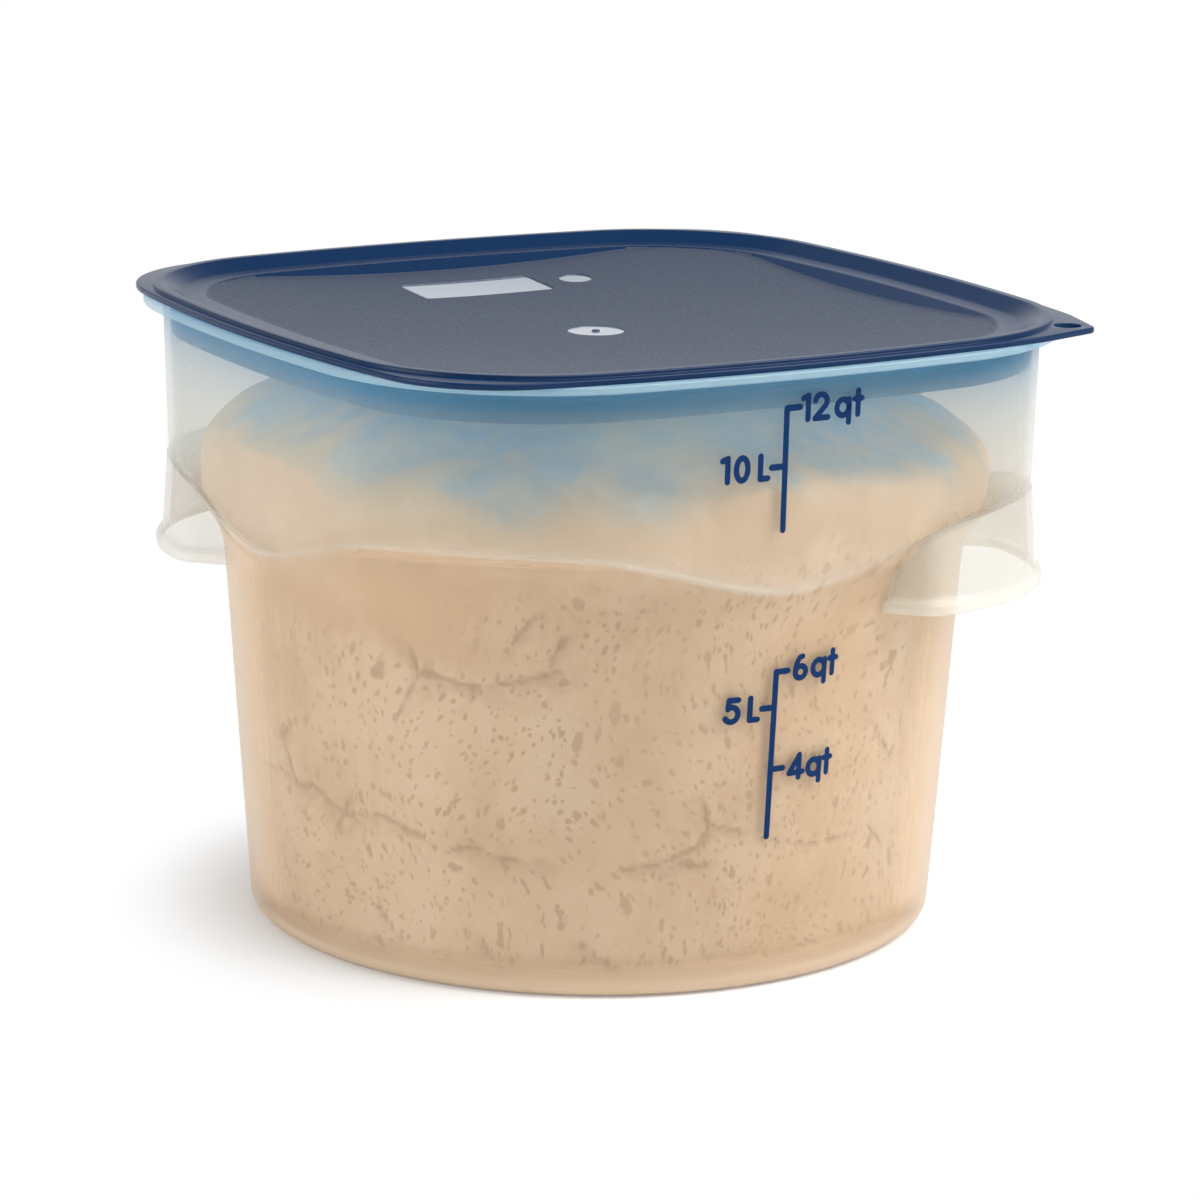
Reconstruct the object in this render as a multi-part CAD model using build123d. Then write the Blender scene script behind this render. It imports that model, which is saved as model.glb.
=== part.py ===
from build123d import *
import math
import os

# A dough proofing container: a tub with a round body and a square mouth, and a lid that plugs the mouth.
# Lengths are millimetres. The origin is on the table, under the middle of the tub, and Z points up.

# Cuts run past the faces that they open by this much
overrun = 5.0

# Tub: wall, floor and foot ring
tub_wall = 2.3
floor_thickness = 2.5
base_recess_depth = 1.2
foot_ring_width = 14.0

# Tub: round lower body, wider by a share of the height
base_radius = 124.4
body_draft_share = 0.0695
base_edge_radius = 6.0

# Tub: concave shoulder that carries the round body out to the square mouth
shoulder_height = 162.5
shoulder_radius = 32.0

# Tub: square upper wall with bowed sides, measured at the rim, narrower below by a share of the depth
rim_height = 221.0
mouth_overhang = 13.9
side_bow_radius = 738.0
mouth_corner_radius = 76.0
mouth_draft_share = 0.02615

# Tub: flat flange round the rim
rim_flange_reach = 7.1
rim_flange_thickness = 2.8
rim_edge_radius = 0.8

# Tub: handles, two skirts that hang from the shoulder at opposite corners
handle_wall = 2.2
handle_half_length = 54.0
handle_bottom_height = 129.0
handle_step = 0.5
handle_ridge = 1.0
handle_flare = 2.3
handle_lip_reach = 4.8
handle_lip_height = 3.0
handle_lip_blend_height = 3.0
handle_bend_radius = 8.0

# Lid: flange that rests on the rim, with one blunter corner
lid_wall = 2.2
lid_flange_thickness = 2.1
lid_flange_reach = 4.7
lid_bow_radius = 698.6
lid_corner_radius = 44.0
lid_blunt_corner_radius = 54.0
lid_edge_radius = 0.6

# Lid: pointed tab with the hanging hole
tab_reach = 5.4
tab_tip_radius = 5.0
hanging_hole_diameter = 9.6
hanging_hole_inset = 9.4

# Lid: raised bead along the edge of the tray
bead_height = 1.3
bead_inset = 1.8
bead_width = 3.5
bead_edge_radius = 1.0
bead_corner_radius = 65.0

# Lid: tray floor inside the bead, where the next tub's base stands
tray_depth = 4.0
tray_wall_run = 7.7
tray_ledge_width = 7.3

# Lid: panel inside the tray, dished like a shallow bowl
dish_depth = 8.9
dish_sphere_radius = 1266.0
dish_wall_run_share = 2.36

# Lid: rib that plugs the tub's mouth
plug_depth = 14.0
plug_wall = 2.0
plug_clearance = 0.8

# Lid: moulded marks on the panel, with the gate's nub in the middle one
mark_depth = 0.3
gate_mark_radius = 10.2
gate_nub_radius = 1.5
gate_nub_height = 0.6
date_mark_radius = 6.3
label_pad_length = 54.5
label_pad_width = 22.5

# Lid: where those marks are, as shares of the bead's half width
date_mark_place_share = (0.297, 0.631)
label_pad_place_share = (-0.015, 0.626)

# Sizes that follow from the ones above
floor_level = base_recess_depth + floor_thickness
mouth_half_width = base_radius + mouth_overhang
bead_half_width = mouth_half_width - bead_inset
bead_bow_radius = side_bow_radius - bead_inset
lid_half_width = mouth_half_width + lid_flange_reach
lid_top_level = rim_height + lid_flange_thickness
crest_level = lid_top_level + bead_height
ledge_level = crest_level - tray_depth
dish_level = ledge_level - dish_depth


def corner_centre(half_width, bow_radius, corner_radius):
    """X, and also Y, of the centre of a corner arc that is tangent to the two bowed sides beside it."""
    setback = bow_radius - half_width
    reach = bow_radius - corner_radius
    return (math.sqrt(2 * reach**2 - setback**2) - setback) / 2


def bowed_square(half_width, bow_radius, corner_radii):
    """A square face with sides that bow out, and one radius per corner, anticlockwise from +X +Y."""
    setback = bow_radius - half_width
    corners = []
    for quarter, corner_radius in enumerate(corner_radii):
        centre = corner_centre(half_width, bow_radius, corner_radius)
        turn = math.atan2(centre, centre + setback)
        start = Vector(bow_radius * math.cos(turn) - setback, bow_radius * math.sin(turn))
        end = Vector(start.Y, start.X)
        tip = centre + corner_radius / math.sqrt(2)
        corners.append([point.rotate(Axis.Z, 90 * quarter) for point in (start, Vector(tip, tip), end)])
    edges = []
    for quarter, (start, tip, end) in enumerate(corners):
        next_quarter = (quarter + 1) % len(corners)
        side_middle = Vector(half_width, 0).rotate(Axis.Z, 90 * next_quarter)
        edges.append(ThreePointArc(start, tip, end))
        edges.append(ThreePointArc(end, side_middle, corners[next_quarter][0]))
    return make_face(edges)


def mouth_section(level, outward=0):
    """The tub's upper outline at one level, moved outwards."""
    shift = outward - (rim_height - level) * mouth_draft_share
    face = bowed_square(mouth_half_width + shift, side_bow_radius + shift, [mouth_corner_radius + shift] * 4)
    return Pos(0, 0, level) * face


def bead_section(level, outward):
    """The outline that the lid's bead, tray and panel share, moved outwards from the bead's crest."""
    radii = [bead_corner_radius + outward] * 4
    return Pos(0, 0, level) * bowed_square(bead_half_width + outward, bead_bow_radius + outward, radii)


def turned(profile):
    """A solid turned about Z from a profile drawn with the radius along X and the height along Y."""
    return revolve(Plane.XZ * profile, Axis.Z)


def round_body(inset, bottom, edge_radius, top):
    """The round body moved in by a wall, with its shoulder, and all that lies above the shoulder."""
    slant = math.hypot(1, body_draft_share)
    bend_level = shoulder_height - shoulder_radius
    bend_centre = Vector(base_radius + bend_level * body_draft_share + shoulder_radius * slant, bend_level)
    bend_radius = shoulder_radius + inset
    turn = math.atan(body_draft_share)

    def on_bend(angle):
        return bend_centre + Vector(-math.cos(angle), math.sin(angle)) * bend_radius

    foot = Vector(base_radius + bottom * body_draft_share - inset * slant, bottom)
    bend_end = on_bend(math.pi / 2)
    outside = bend_end.X + mouth_half_width
    wall_line = Polyline((0, top), (0, bottom), foot, on_bend(turn))
    bend = ThreePointArc(on_bend(turn), on_bend((turn + math.pi / 2) / 2), bend_end)
    upper_line = Polyline(bend_end, (outside, bend_end.Y), (outside, top), (0, top))
    profile = make_face([*wall_line.edges(), bend, *upper_line.edges()])
    corner = profile.vertices().sort_by_distance(foot)[0]
    return turned(fillet(corner, edge_radius))


def envelope(inset, bottom, edge_radius, top):
    """The tub's form moved in by a wall: the round body below, the square mouth above the shoulder."""
    square = loft([mouth_section(bottom, -inset), mouth_section(top, -inset)], ruled=True)
    return round_body(inset, bottom, edge_radius, top + overrun) & square


def handle_section(level, outward):
    """Section through both handles: the square outline at the shoulder, cut to a band along the diagonal.

    It is drawn one bend radius smaller and then grown by that radius, which rounds the four bends.
    """
    bend_radius = handle_bend_radius + outward
    core = mouth_section(shoulder_height, outward - bend_radius)
    band_half = handle_half_length + outward - bend_radius
    band = Pos(0, 0, shoulder_height) * Rot(Z=-45) * Rectangle(4 * mouth_half_width, 2 * band_half)
    return Pos(0, 0, level - shoulder_height) * offset(core & band, bend_radius)


def handle_block(inset, bottom):
    """Both handles as one block through the tub: it leans out downwards and ends in a lip."""
    lip_top = handle_bottom_height + handle_lip_height
    stations = [
        (shoulder_height + handle_ridge, handle_step),
        (lip_top + handle_lip_blend_height, handle_flare),
        (lip_top, handle_lip_reach),
        (bottom, handle_lip_reach),
    ]
    return loft([handle_section(level, outward - inset) for level, outward in stations], ruled=True)


def handles():
    """Two thin skirts, open at the bottom, that stop a ridge above the shoulder."""
    above_ridge = round_body(0, 0, base_edge_radius, rim_height)
    skirt = handle_block(0, handle_bottom_height) - handle_block(handle_wall, handle_bottom_height - overrun)
    return skirt - Pos(0, 0, handle_ridge) * above_ridge


def rim_flange():
    """The flat flange that the lid rests on, with softened edges."""
    plate = extrude(mouth_section(rim_height, rim_flange_reach), -rim_flange_thickness)
    edges = plate.edges().filter_by(Plane.XY)
    return fillet(edges, rim_edge_radius)


def make_tub():
    """The tub as one moulding, hollowed last so that every wall is open to the inside."""
    outside = envelope(0, 0, base_edge_radius, rim_height) + handles() + rim_flange()
    inside = envelope(tub_wall, floor_level, base_edge_radius - tub_wall, rim_height + overrun)
    recess_radius = base_radius - foot_ring_width
    recess = extrude(Circle(recess_radius), base_recess_depth)
    return outside - inside - recess


def make_lid_plate():
    """The lid's flange: three plain corners, and a pointed tab at +X -Y with a hole to hang it by."""
    radii = [lid_corner_radius, lid_blunt_corner_radius, lid_corner_radius, lid_corner_radius]
    outline = bowed_square(lid_half_width, lid_bow_radius, radii)
    corner = corner_centre(lid_half_width, lid_bow_radius, lid_corner_radius) * math.sqrt(2)
    tip = corner + lid_corner_radius + tab_reach - tab_tip_radius
    lean = math.acos((lid_corner_radius - tab_tip_radius) / (tip - corner))
    across = Vector(math.cos(lean), math.sin(lean))
    back_point = Vector(corner, 0) + across * lid_corner_radius
    tip_point = Vector(tip, 0) + across * tab_tip_radius
    wedge = Polygon(
        (back_point.X, back_point.Y),
        (back_point.X, -back_point.Y),
        (tip_point.X, -tip_point.Y),
        (tip_point.X, tip_point.Y),
        align=None,
    )
    tab = Rot(Z=-45) * (wedge + Pos(tip, 0) * Circle(tab_tip_radius))
    hole_reach = tip + tab_tip_radius - hanging_hole_inset
    hole = Rot(Z=-45) * Pos(hole_reach, 0) * Circle(hanging_hole_diameter / 2)
    plate = extrude(Pos(0, 0, rim_height) * (outline + tab), lid_flange_thickness)
    plate = fillet(plate.edges().filter_by(Plane.XY), lid_edge_radius)
    return plate - extrude(Pos(0, 0, rim_height) * hole, lid_flange_thickness)


def tray(bottom, top):
    """The shallow tray inside the bead, with walls that lean out."""
    run_share = tray_wall_run / tray_depth
    rise = top - bottom
    sections = [bead_section(bottom, -tray_wall_run), bead_section(top, rise * run_share - tray_wall_run)]
    return loft(sections, ruled=True)


def above_dish(lowering, top):
    """All that lies above the panel's sphere, out past the corners."""
    reach = bead_half_width * math.sqrt(2)
    centre_level = dish_level + dish_sphere_radius
    radius = dish_sphere_radius + lowering

    def on_sphere(distance):
        return (distance, centre_level - math.sqrt(radius**2 - distance**2))

    bowl = ThreePointArc(on_sphere(0), on_sphere(reach / 2), on_sphere(reach))
    edges = Polyline(on_sphere(reach), (reach, top), (0, top), on_sphere(0)).edges()
    return turned(make_face([bowl, *edges]))


def dish(lowering, top):
    """The hollow of the panel: a sloping wall down from the tray's ledge, and a bowl."""
    start = -tray_wall_run - tray_ledge_width
    start_level = ledge_level - lowering
    bottom = dish_level - lowering
    sections = [
        bead_section(bottom, start - (start_level - bottom) * dish_wall_run_share),
        bead_section(top, start + (top - start_level) * dish_wall_run_share),
    ]
    return loft(sections, ruled=True) & above_dish(lowering, top + overrun)


def panel_marks():
    """Shallow marks in the panel: round the gate, a small round one, and a bare rectangular pad."""
    depth = crest_level - dish_level + overrun
    level = dish_level - mark_depth
    date_place = [bead_half_width * share for share in date_mark_place_share]
    label_place = [bead_half_width * share for share in label_pad_place_share]
    outlines = Circle(gate_mark_radius)
    outlines += Pos(*date_place) * Circle(date_mark_radius)
    outlines += Pos(*label_place) * Rectangle(label_pad_length, label_pad_width)
    return extrude(Pos(0, 0, level) * outlines, depth) & above_dish(mark_depth, level + depth)


def make_lid():
    """The lid as one moulding: each hollow is cut from a solid of the same form, one wall lower."""
    bead = extrude(bead_section(lid_top_level, bead_width), bead_height)
    top_edges = bead.edges().filter_by(Plane.XY).group_by(Axis.Z)[-1]
    bead = fillet(top_edges, bead_edge_radius)
    plug_gap = tub_wall + plug_clearance
    plug_bottom = rim_height - plug_depth
    plug_outer = mouth_section(rim_height, -plug_gap)
    plug_inner = mouth_section(rim_height, -plug_gap - plug_wall)
    plug = extrude(plug_outer - plug_inner, plug_bottom - rim_height)
    flange_middle = rim_height + lid_flange_thickness / 2
    tray_under = tray(ledge_level - lid_wall, flange_middle)
    dish_under = dish(lid_wall, ledge_level - lid_wall / 2)
    mouth_space = extrude(plug_outer, plug_bottom - rim_height) + extrude(plug_outer, flange_middle - rim_height)
    body = make_lid_plate() + bead + plug + ((tray_under + dish_under) & mouth_space)
    nub = extrude(Pos(0, 0, dish_level - mark_depth) * Circle(gate_nub_radius), gate_nub_height)
    hollow = tray(ledge_level, crest_level + overrun) + dish(0, ledge_level + lid_wall)
    return body - hollow - panel_marks() + nub


tub = make_tub()
lid = make_lid()
os.makedirs("parts", exist_ok=True)
for name, shape in {"tub": tub, "lid": lid}.items():
    export_step(shape, f"parts/{name}.step")
    print(name, len(shape.solids()), "solid", round(shape.volume / 1000), "cm3", shape.bounding_box().size)
cavity = envelope(tub_wall, floor_level, base_edge_radius - tub_wall, rim_height)
print("brimful capacity", round(cavity.volume / 1e6, 2), "litres")
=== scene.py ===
# %% [markdown]
# # A dough proofing container
# The real object is two injection mouldings: a translucent tub with a round body and a square mouth, and a
# dark blue lid that plugs the mouth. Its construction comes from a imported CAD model, which is loaded first
# and stays fixed. Everything below is made in the same frame: metres, Z up, the origin on the table under
# the base.

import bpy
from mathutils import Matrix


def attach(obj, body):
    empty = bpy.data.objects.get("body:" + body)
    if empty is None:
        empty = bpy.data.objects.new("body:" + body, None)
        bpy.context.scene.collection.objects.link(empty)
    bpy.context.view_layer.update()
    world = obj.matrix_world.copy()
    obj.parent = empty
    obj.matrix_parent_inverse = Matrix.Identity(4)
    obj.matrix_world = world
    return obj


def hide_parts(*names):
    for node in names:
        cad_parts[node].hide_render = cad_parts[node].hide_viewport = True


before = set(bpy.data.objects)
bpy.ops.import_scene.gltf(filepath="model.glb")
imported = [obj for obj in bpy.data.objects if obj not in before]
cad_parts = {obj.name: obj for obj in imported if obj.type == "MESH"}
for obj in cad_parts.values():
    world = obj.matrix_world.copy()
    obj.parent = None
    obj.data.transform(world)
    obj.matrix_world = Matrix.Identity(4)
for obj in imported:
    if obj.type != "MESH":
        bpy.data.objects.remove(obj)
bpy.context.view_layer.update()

# %% [markdown]
# ## Units
# A maker thinks of a container in millimetres, and Blender works in metres. The container's sizes are
# written in millimetres, as on a drawing, and are turned to metres at the moment when a mesh is filled.

# %% Modules and units
import math

import bpy
import numpy as np
from mathutils import Matrix, Vector

MM = 0.001
TINY = 1e-9              # keeps a division by a length that may be nothing from failing

# %% [markdown]
# ## The camera
# The photograph was taken with a long lens, a little above the lid, looking at the edge between two sides.
# A camera is easiest to describe as on a tripod: how far round the object it stands, how high it looks
# down, how far away it is, and then the small turns that centre and level the picture.

# %% Camera
CAMERA_AZIMUTH = -30.0863
CAMERA_ELEVATION = 13.5426
CAMERA_DISTANCE = 1650.93
CAMERA_AIM_HEIGHT = 105
CAMERA_LENS = 135.585
CAMERA_SENSOR = 36
CAMERA_YAW = 0.09587
CAMERA_PITCH = -0.23285
CAMERA_ROLL = -0.72543
CAMERA_CLIP = (0.01, 50)


def add_object(name, data):
    """An object with the given data, linked to the scene."""
    thing = bpy.data.objects.new(name, data)
    bpy.context.scene.collection.objects.link(thing)
    return thing


def add_camera():
    """A camera on a sphere round the aim point, facing it, then turned by yaw, pitch and roll."""
    azimuth = math.radians(CAMERA_AZIMUTH)
    elevation = math.radians(CAMERA_ELEVATION)
    level = math.cos(elevation)
    back = Vector((math.sin(azimuth) * level, -math.cos(azimuth) * level, math.sin(elevation)))
    right = Vector((0, 0, 1)).cross(back).normalized()
    to_camera = Matrix((right, back.cross(right), back))
    yaw = Matrix.Rotation(math.radians(CAMERA_YAW), 3, "Y")
    pitch = Matrix.Rotation(math.radians(CAMERA_PITCH), 3, "X")
    roll = Matrix.Rotation(math.radians(CAMERA_ROLL), 3, "Z")
    to_camera = roll @ pitch @ yaw @ to_camera
    data = bpy.data.cameras.new("camera")
    data.sensor_width = CAMERA_SENSOR
    data.lens = CAMERA_LENS
    data.clip_start, data.clip_end = CAMERA_CLIP
    camera = add_object("camera", data)
    place = Vector((0, 0, CAMERA_AIM_HEIGHT)) + back * CAMERA_DISTANCE
    camera.matrix_world = Matrix.Translation(place * MM) @ to_camera.transposed().to_4x4()
    bpy.context.scene.camera = camera
    return camera


camera = add_camera()
print("camera at", [round(value, 3) for value in camera.location])

# %% [markdown]
# ## The outline that everything shares
# Seen from above, the mouth, the rim, the lid, its bead and its panel are all one kind of shape: a square
# whose sides bow out a little, with round corners. All of them are star shaped about the middle, so a
# single formula can give the distance from the middle for each angle. Rings of such points, stacked from
# the bottom up, make walls that are smooth however the light falls. That is why the pieces are drawn with
# formulas, and not with a primitive and a bevel.

# %% Outline formula
def corner_centre(half, bow, corner):
    """How far from either axis a corner's arc has its centre, so that it touches the arcs of both sides."""
    setback = bow - half
    return (np.sqrt(2 * (bow - corner) ** 2 - setback**2) - setback) / 2


def outline_radius(angles, half, bow, corner):
    """Distance from the middle to a square outline whose sides bow out.

    Counted from the nearest axis, the outline is first the side's long arc, whose centre lies bow - half
    behind the middle. Past the tangent point it is the corner's arc, whose centre lies on the diagonal.
    """
    setback = bow - half
    centre = corner_centre(half, bow, corner)
    tangent_turn = np.arctan2(centre, centre + setback)
    tangent_angle = np.arctan2(bow * np.sin(tangent_turn), bow * np.cos(tangent_turn) - setback)
    quarter = math.pi / 2
    from_axis = np.abs((angles + quarter / 2) % quarter - quarter / 2)
    side = np.sqrt(bow**2 - (setback * np.sin(from_axis)) ** 2) - setback * np.cos(from_axis)
    along = centre * (np.cos(from_axis) + np.sin(from_axis))
    across = centre * (np.cos(from_axis) - np.sin(from_axis))
    rounded = along + np.sqrt(np.maximum(corner**2 - across**2, 0))
    return np.where(from_axis < tangent_angle, side, rounded)


MOUTH_HALF = 138.3
MOUTH_BOW = 738.0
MOUTH_CORNER = 76.0
MOUTH_DRAFT = 0.02615
RIM_HEIGHT = 221.0


def mouth_radius(angles, height, outward=0.0):
    """The tub's square outline at a height: narrower below the rim by the draft, and moved outwards."""
    shift = outward - (RIM_HEIGHT - height) * MOUTH_DRAFT
    return outline_radius(angles, MOUTH_HALF + shift, MOUTH_BOW + shift, MOUTH_CORNER + shift)


print("across the mouth:", round(2 * float(mouth_radius(0.0, RIM_HEIGHT)), 1), "mm")

# %% [markdown]
# ## From arrays to a mesh
# A mesh is three lists: points, corners and faces. Blender can take each list as one whole array, which is
# thousands of times faster than adding points one by one. A ring mesh is a stack of rings with the same
# number of points. Neighbouring rings are joined by four-sided faces, and the first and last ring are
# closed by a fan to one middle point, so that the piece is watertight. The volume's sign tells whether the
# faces point outwards.

# %% Mesh helpers
def signed_volume(points, faces):
    """Six times the volume is the sum of the triple products of each triangle's corners."""
    total = 0.0
    for group in faces:
        for second in range(1, group.shape[1] - 1):
            first_corner = points[group[:, 0]]
            second_corner = points[group[:, second]]
            third_corner = points[group[:, second + 1]]
            total += np.einsum("ij,ij->", first_corner, np.cross(second_corner, third_corner))
    return total / 6


def add_piece(name, points, faces, sharp_degrees=35.0):
    """A piece from points in millimetres and arrays of faces, turned so that they point outwards."""
    if signed_volume(points, faces) < 0:
        faces = [group[:, ::-1] for group in faces]
    corners = np.concatenate([group.ravel() for group in faces])
    counts = np.concatenate([np.full(len(group), group.shape[1]) for group in faces])
    mesh = bpy.data.meshes.new(name)
    mesh.vertices.add(len(points))
    mesh.vertices.foreach_set("co", (points * MM).ravel())
    mesh.loops.add(len(corners))
    mesh.loops.foreach_set("vertex_index", corners)
    mesh.polygons.add(len(counts))
    mesh.polygons.foreach_set("loop_start", np.cumsum(counts) - counts)
    mesh.update(calc_edges=True)
    mesh.shade_smooth()
    mesh.set_sharp_from_angle(angle=math.radians(sharp_degrees))
    print(name, len(points), "points", len(counts), "faces")
    return add_object(name, mesh)


def keep_field(piece, name, field):
    """Keeps one number per point in the mesh, where a material can read it by its name."""
    attribute = piece.data.attributes.new(name, "FLOAT", "POINT")
    attribute.data.foreach_set("value", field)


def ring_faces(ring_count, ring_size):
    """Four-sided faces between neighbouring rings, the last point of each ring joined to its first."""
    lower = np.arange(ring_count - 1)[:, None] * ring_size
    here = np.arange(ring_size)[None, :]
    ahead = (here + 1) % ring_size
    square = [lower + here, lower + ring_size + here, lower + ring_size + ahead, lower + ahead]
    return np.stack(square, axis=-1).reshape(-1, 4)


def ring_piece(name, rings, first_pole, last_pole, sharp_degrees=35.0):
    """A closed piece from rings[ring, point, xyz] with a middle point at either end."""
    count, size, _ = rings.shape
    points = np.concatenate([rings.reshape(-1, 3), [first_pole], [last_pole]])
    here = np.arange(size)
    ahead = (here + 1) % size
    last = (count - 1) * size
    first_fan = np.stack([np.full(size, count * size), here, ahead], axis=-1)
    last_fan = np.stack([np.full(size, count * size + 1), last + ahead, last + here], axis=-1)
    faces = [ring_faces(count, size), first_fan, last_fan]
    return add_piece(name, points, faces, sharp_degrees)


def full_circle(count):
    """Evenly spaced angles once round. The last one isn't repeated, because the ring closes by itself."""
    return np.linspace(0, 2 * math.pi, count, endpoint=False)


def polar_rings(angles, stations):
    """Rings from a list of (radius, height) pairs, where each may be one number or one value per angle."""
    rings = np.empty((len(stations), len(angles), 3))
    for index, (radius, height) in enumerate(stations):
        rings[index, :, 0] = radius * np.cos(angles)
        rings[index, :, 1] = radius * np.sin(angles)
        rings[index, :, 2] = height
    return rings


# %% [markdown]
# ## Soft edges
# A mould never has a perfectly sharp edge, and the bright line along a softened edge is what tells the eye
# that it is plastic. Each wall below is drawn as a path of corners from the middle of one face round to the
# middle of the other. This helper cuts each corner back and bends a small curve across it. A corner between
# two short stretches gets a smaller curve by itself, separately at each angle.

# %% Softened corners
BEND_STEPS = 4
LONGEST_CUT = 0.45       # of the stretch beside a corner


def bend(start, corner, end, share):
    """A quadratic curve from start to end, which leaves and arrives on straight lines through the corner."""
    return (1 - share) ** 2 * start + 2 * share * (1 - share) * corner + share**2 * end


def softened(corners, softness, count):
    """Stations along a path of corners, with one radius and one height for each of count angles. Each corner
    becomes a curve that starts and ends its softness away, or less where the stretch beside it is short."""
    path = [np.stack([np.broadcast_to(value, count) for value in corner]) for corner in corners]
    stations = [path[0]]
    for before, corner, after, soft in zip(path, path[1:], path[2:], softness):
        back = before - corner
        ahead = after - corner
        back_length = np.hypot(*back)
        ahead_length = np.hypot(*ahead)
        cut = np.minimum(soft, LONGEST_CUT * np.minimum(back_length, ahead_length))
        start = corner + back * cut / np.maximum(back_length, TINY)
        end = corner + ahead * cut / np.maximum(ahead_length, TINY)
        stations += [bend(start, corner, end, share) for share in np.linspace(0, 1, BEND_STEPS + 1)]
    stations.append(path[-1])
    return stations


# %% [markdown]
# ## The tub's wall
# The tub is one moulding with a wall of the same thickness all over. Below, it is a round body that widens
# upwards. At the shoulder the round wall flares out in a hollow curve until it meets the square mouth, high
# in the corners and low at the middle of each side. That meeting line is found by stepping: guess a height,
# see how far out the square is there, and read the height of the flare at that distance. The wall is a
# single closed path from the middle of the inner floor, up the inside, over the rim and down the outside to
# the middle of the base.

# %% Tub sizes
TUB_WALL = 2.3
FLOOR_LEVEL = 3.7
FLOOR_SHARES = (0.2, 0.4, 0.6, 0.8)
BASE_RECESS_DEPTH = 1.2
RECESS_SOFTNESS = 0.3
FOOT_RING_INNER_RADIUS = 110.4
FOOT_RING_SOFTNESS = 0.4
BASE_RADIUS = 124.4
BODY_DRAFT = 0.0695
BASE_EDGE_RADIUS = 6.0
SHOULDER_HEIGHT = 162.5
SHOULDER_RADIUS = 32.0
SHOULDER_SOFTNESS = 2.2
RIM_REACH = 7.1
RIM_THICKNESS = 2.8
RIM_UNDER = RIM_HEIGHT - RIM_THICKNESS
RIM_SOFTNESS = 0.9
LID_GAP = 0.03
TUB_COLUMNS = 576
WALL_RINGS = 16
MEETING_ROUNDS = 12

DRAFT_SLANT = math.hypot(1, BODY_DRAFT)
DRAFT_TURN = math.atan(BODY_DRAFT)
BEND_HEIGHT = SHOULDER_HEIGHT - SHOULDER_RADIUS
BEND_CENTRE = BASE_RADIUS + BEND_HEIGHT * BODY_DRAFT + SHOULDER_RADIUS * DRAFT_SLANT


# %% Tub wall
def body_radius(height, inset=0.0):
    """The round body's radius at a height, moved in by a wall."""
    return BASE_RADIUS + height * BODY_DRAFT - inset * DRAFT_SLANT


def edge_arc(level, inset, radius, steps=7):
    """The round edge between a level floor and the drafted wall, from the floor up."""
    centre = body_radius(level + radius, inset + radius)
    turns = np.linspace(-math.pi / 2, -DRAFT_TURN, steps)
    return [(centre + radius * math.cos(turn), level + radius + radius * math.sin(turn)) for turn in turns]


def straight_wall(low, inset=0.0):
    """Stations of the drafted wall, from a height up to the foot of the flare, without those two ends."""
    flare_foot = BEND_HEIGHT + (SHOULDER_RADIUS + inset) * math.sin(DRAFT_TURN)
    return [(body_radius(height, inset), height) for height in np.linspace(low, flare_foot, WALL_RINGS)[1:-1]]


def shoulder_line(angles, inset=0.0):
    """Height at which the flare meets the square wall, at each angle, for walls moved in by an inset."""
    meeting = np.full(len(angles), SHOULDER_HEIGHT)
    for _ in range(MEETING_ROUNDS):
        overhang = BEND_CENTRE - mouth_radius(angles, meeting, -inset)
        meeting = BEND_HEIGHT + np.sqrt((SHOULDER_RADIUS + inset) ** 2 - overhang**2)
    return meeting


def shoulder(angles, inset, top, arc_steps=18, wall_steps=9):
    """Stations from the foot of the flare, over the meeting line, to the top of the square wall."""
    radius = SHOULDER_RADIUS + inset
    meeting = shoulder_line(angles, inset)
    last_turn = np.arcsin((meeting - BEND_HEIGHT) / radius) - SHOULDER_SOFTNESS / radius
    stations = []
    for share in np.linspace(0, 1, arc_steps):
        turn = DRAFT_TURN + share * (last_turn - DRAFT_TURN)
        stations.append((BEND_CENTRE - radius * np.cos(turn), BEND_HEIGHT + radius * np.sin(turn)))
    above = meeting + SHOULDER_SOFTNESS
    start = np.stack(stations[-1])
    corner = np.stack([mouth_radius(angles, meeting, -inset), meeting])
    end = np.stack([mouth_radius(angles, above, -inset), above])
    stations += [bend(start, corner, end, share) for share in np.linspace(0, 1, BEND_STEPS + 2)[1:]]
    for share in np.linspace(0, 1, wall_steps)[1:]:
        height = above + share * (top - above)
        stations.append((mouth_radius(angles, height, -inset), height))
    return stations


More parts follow.
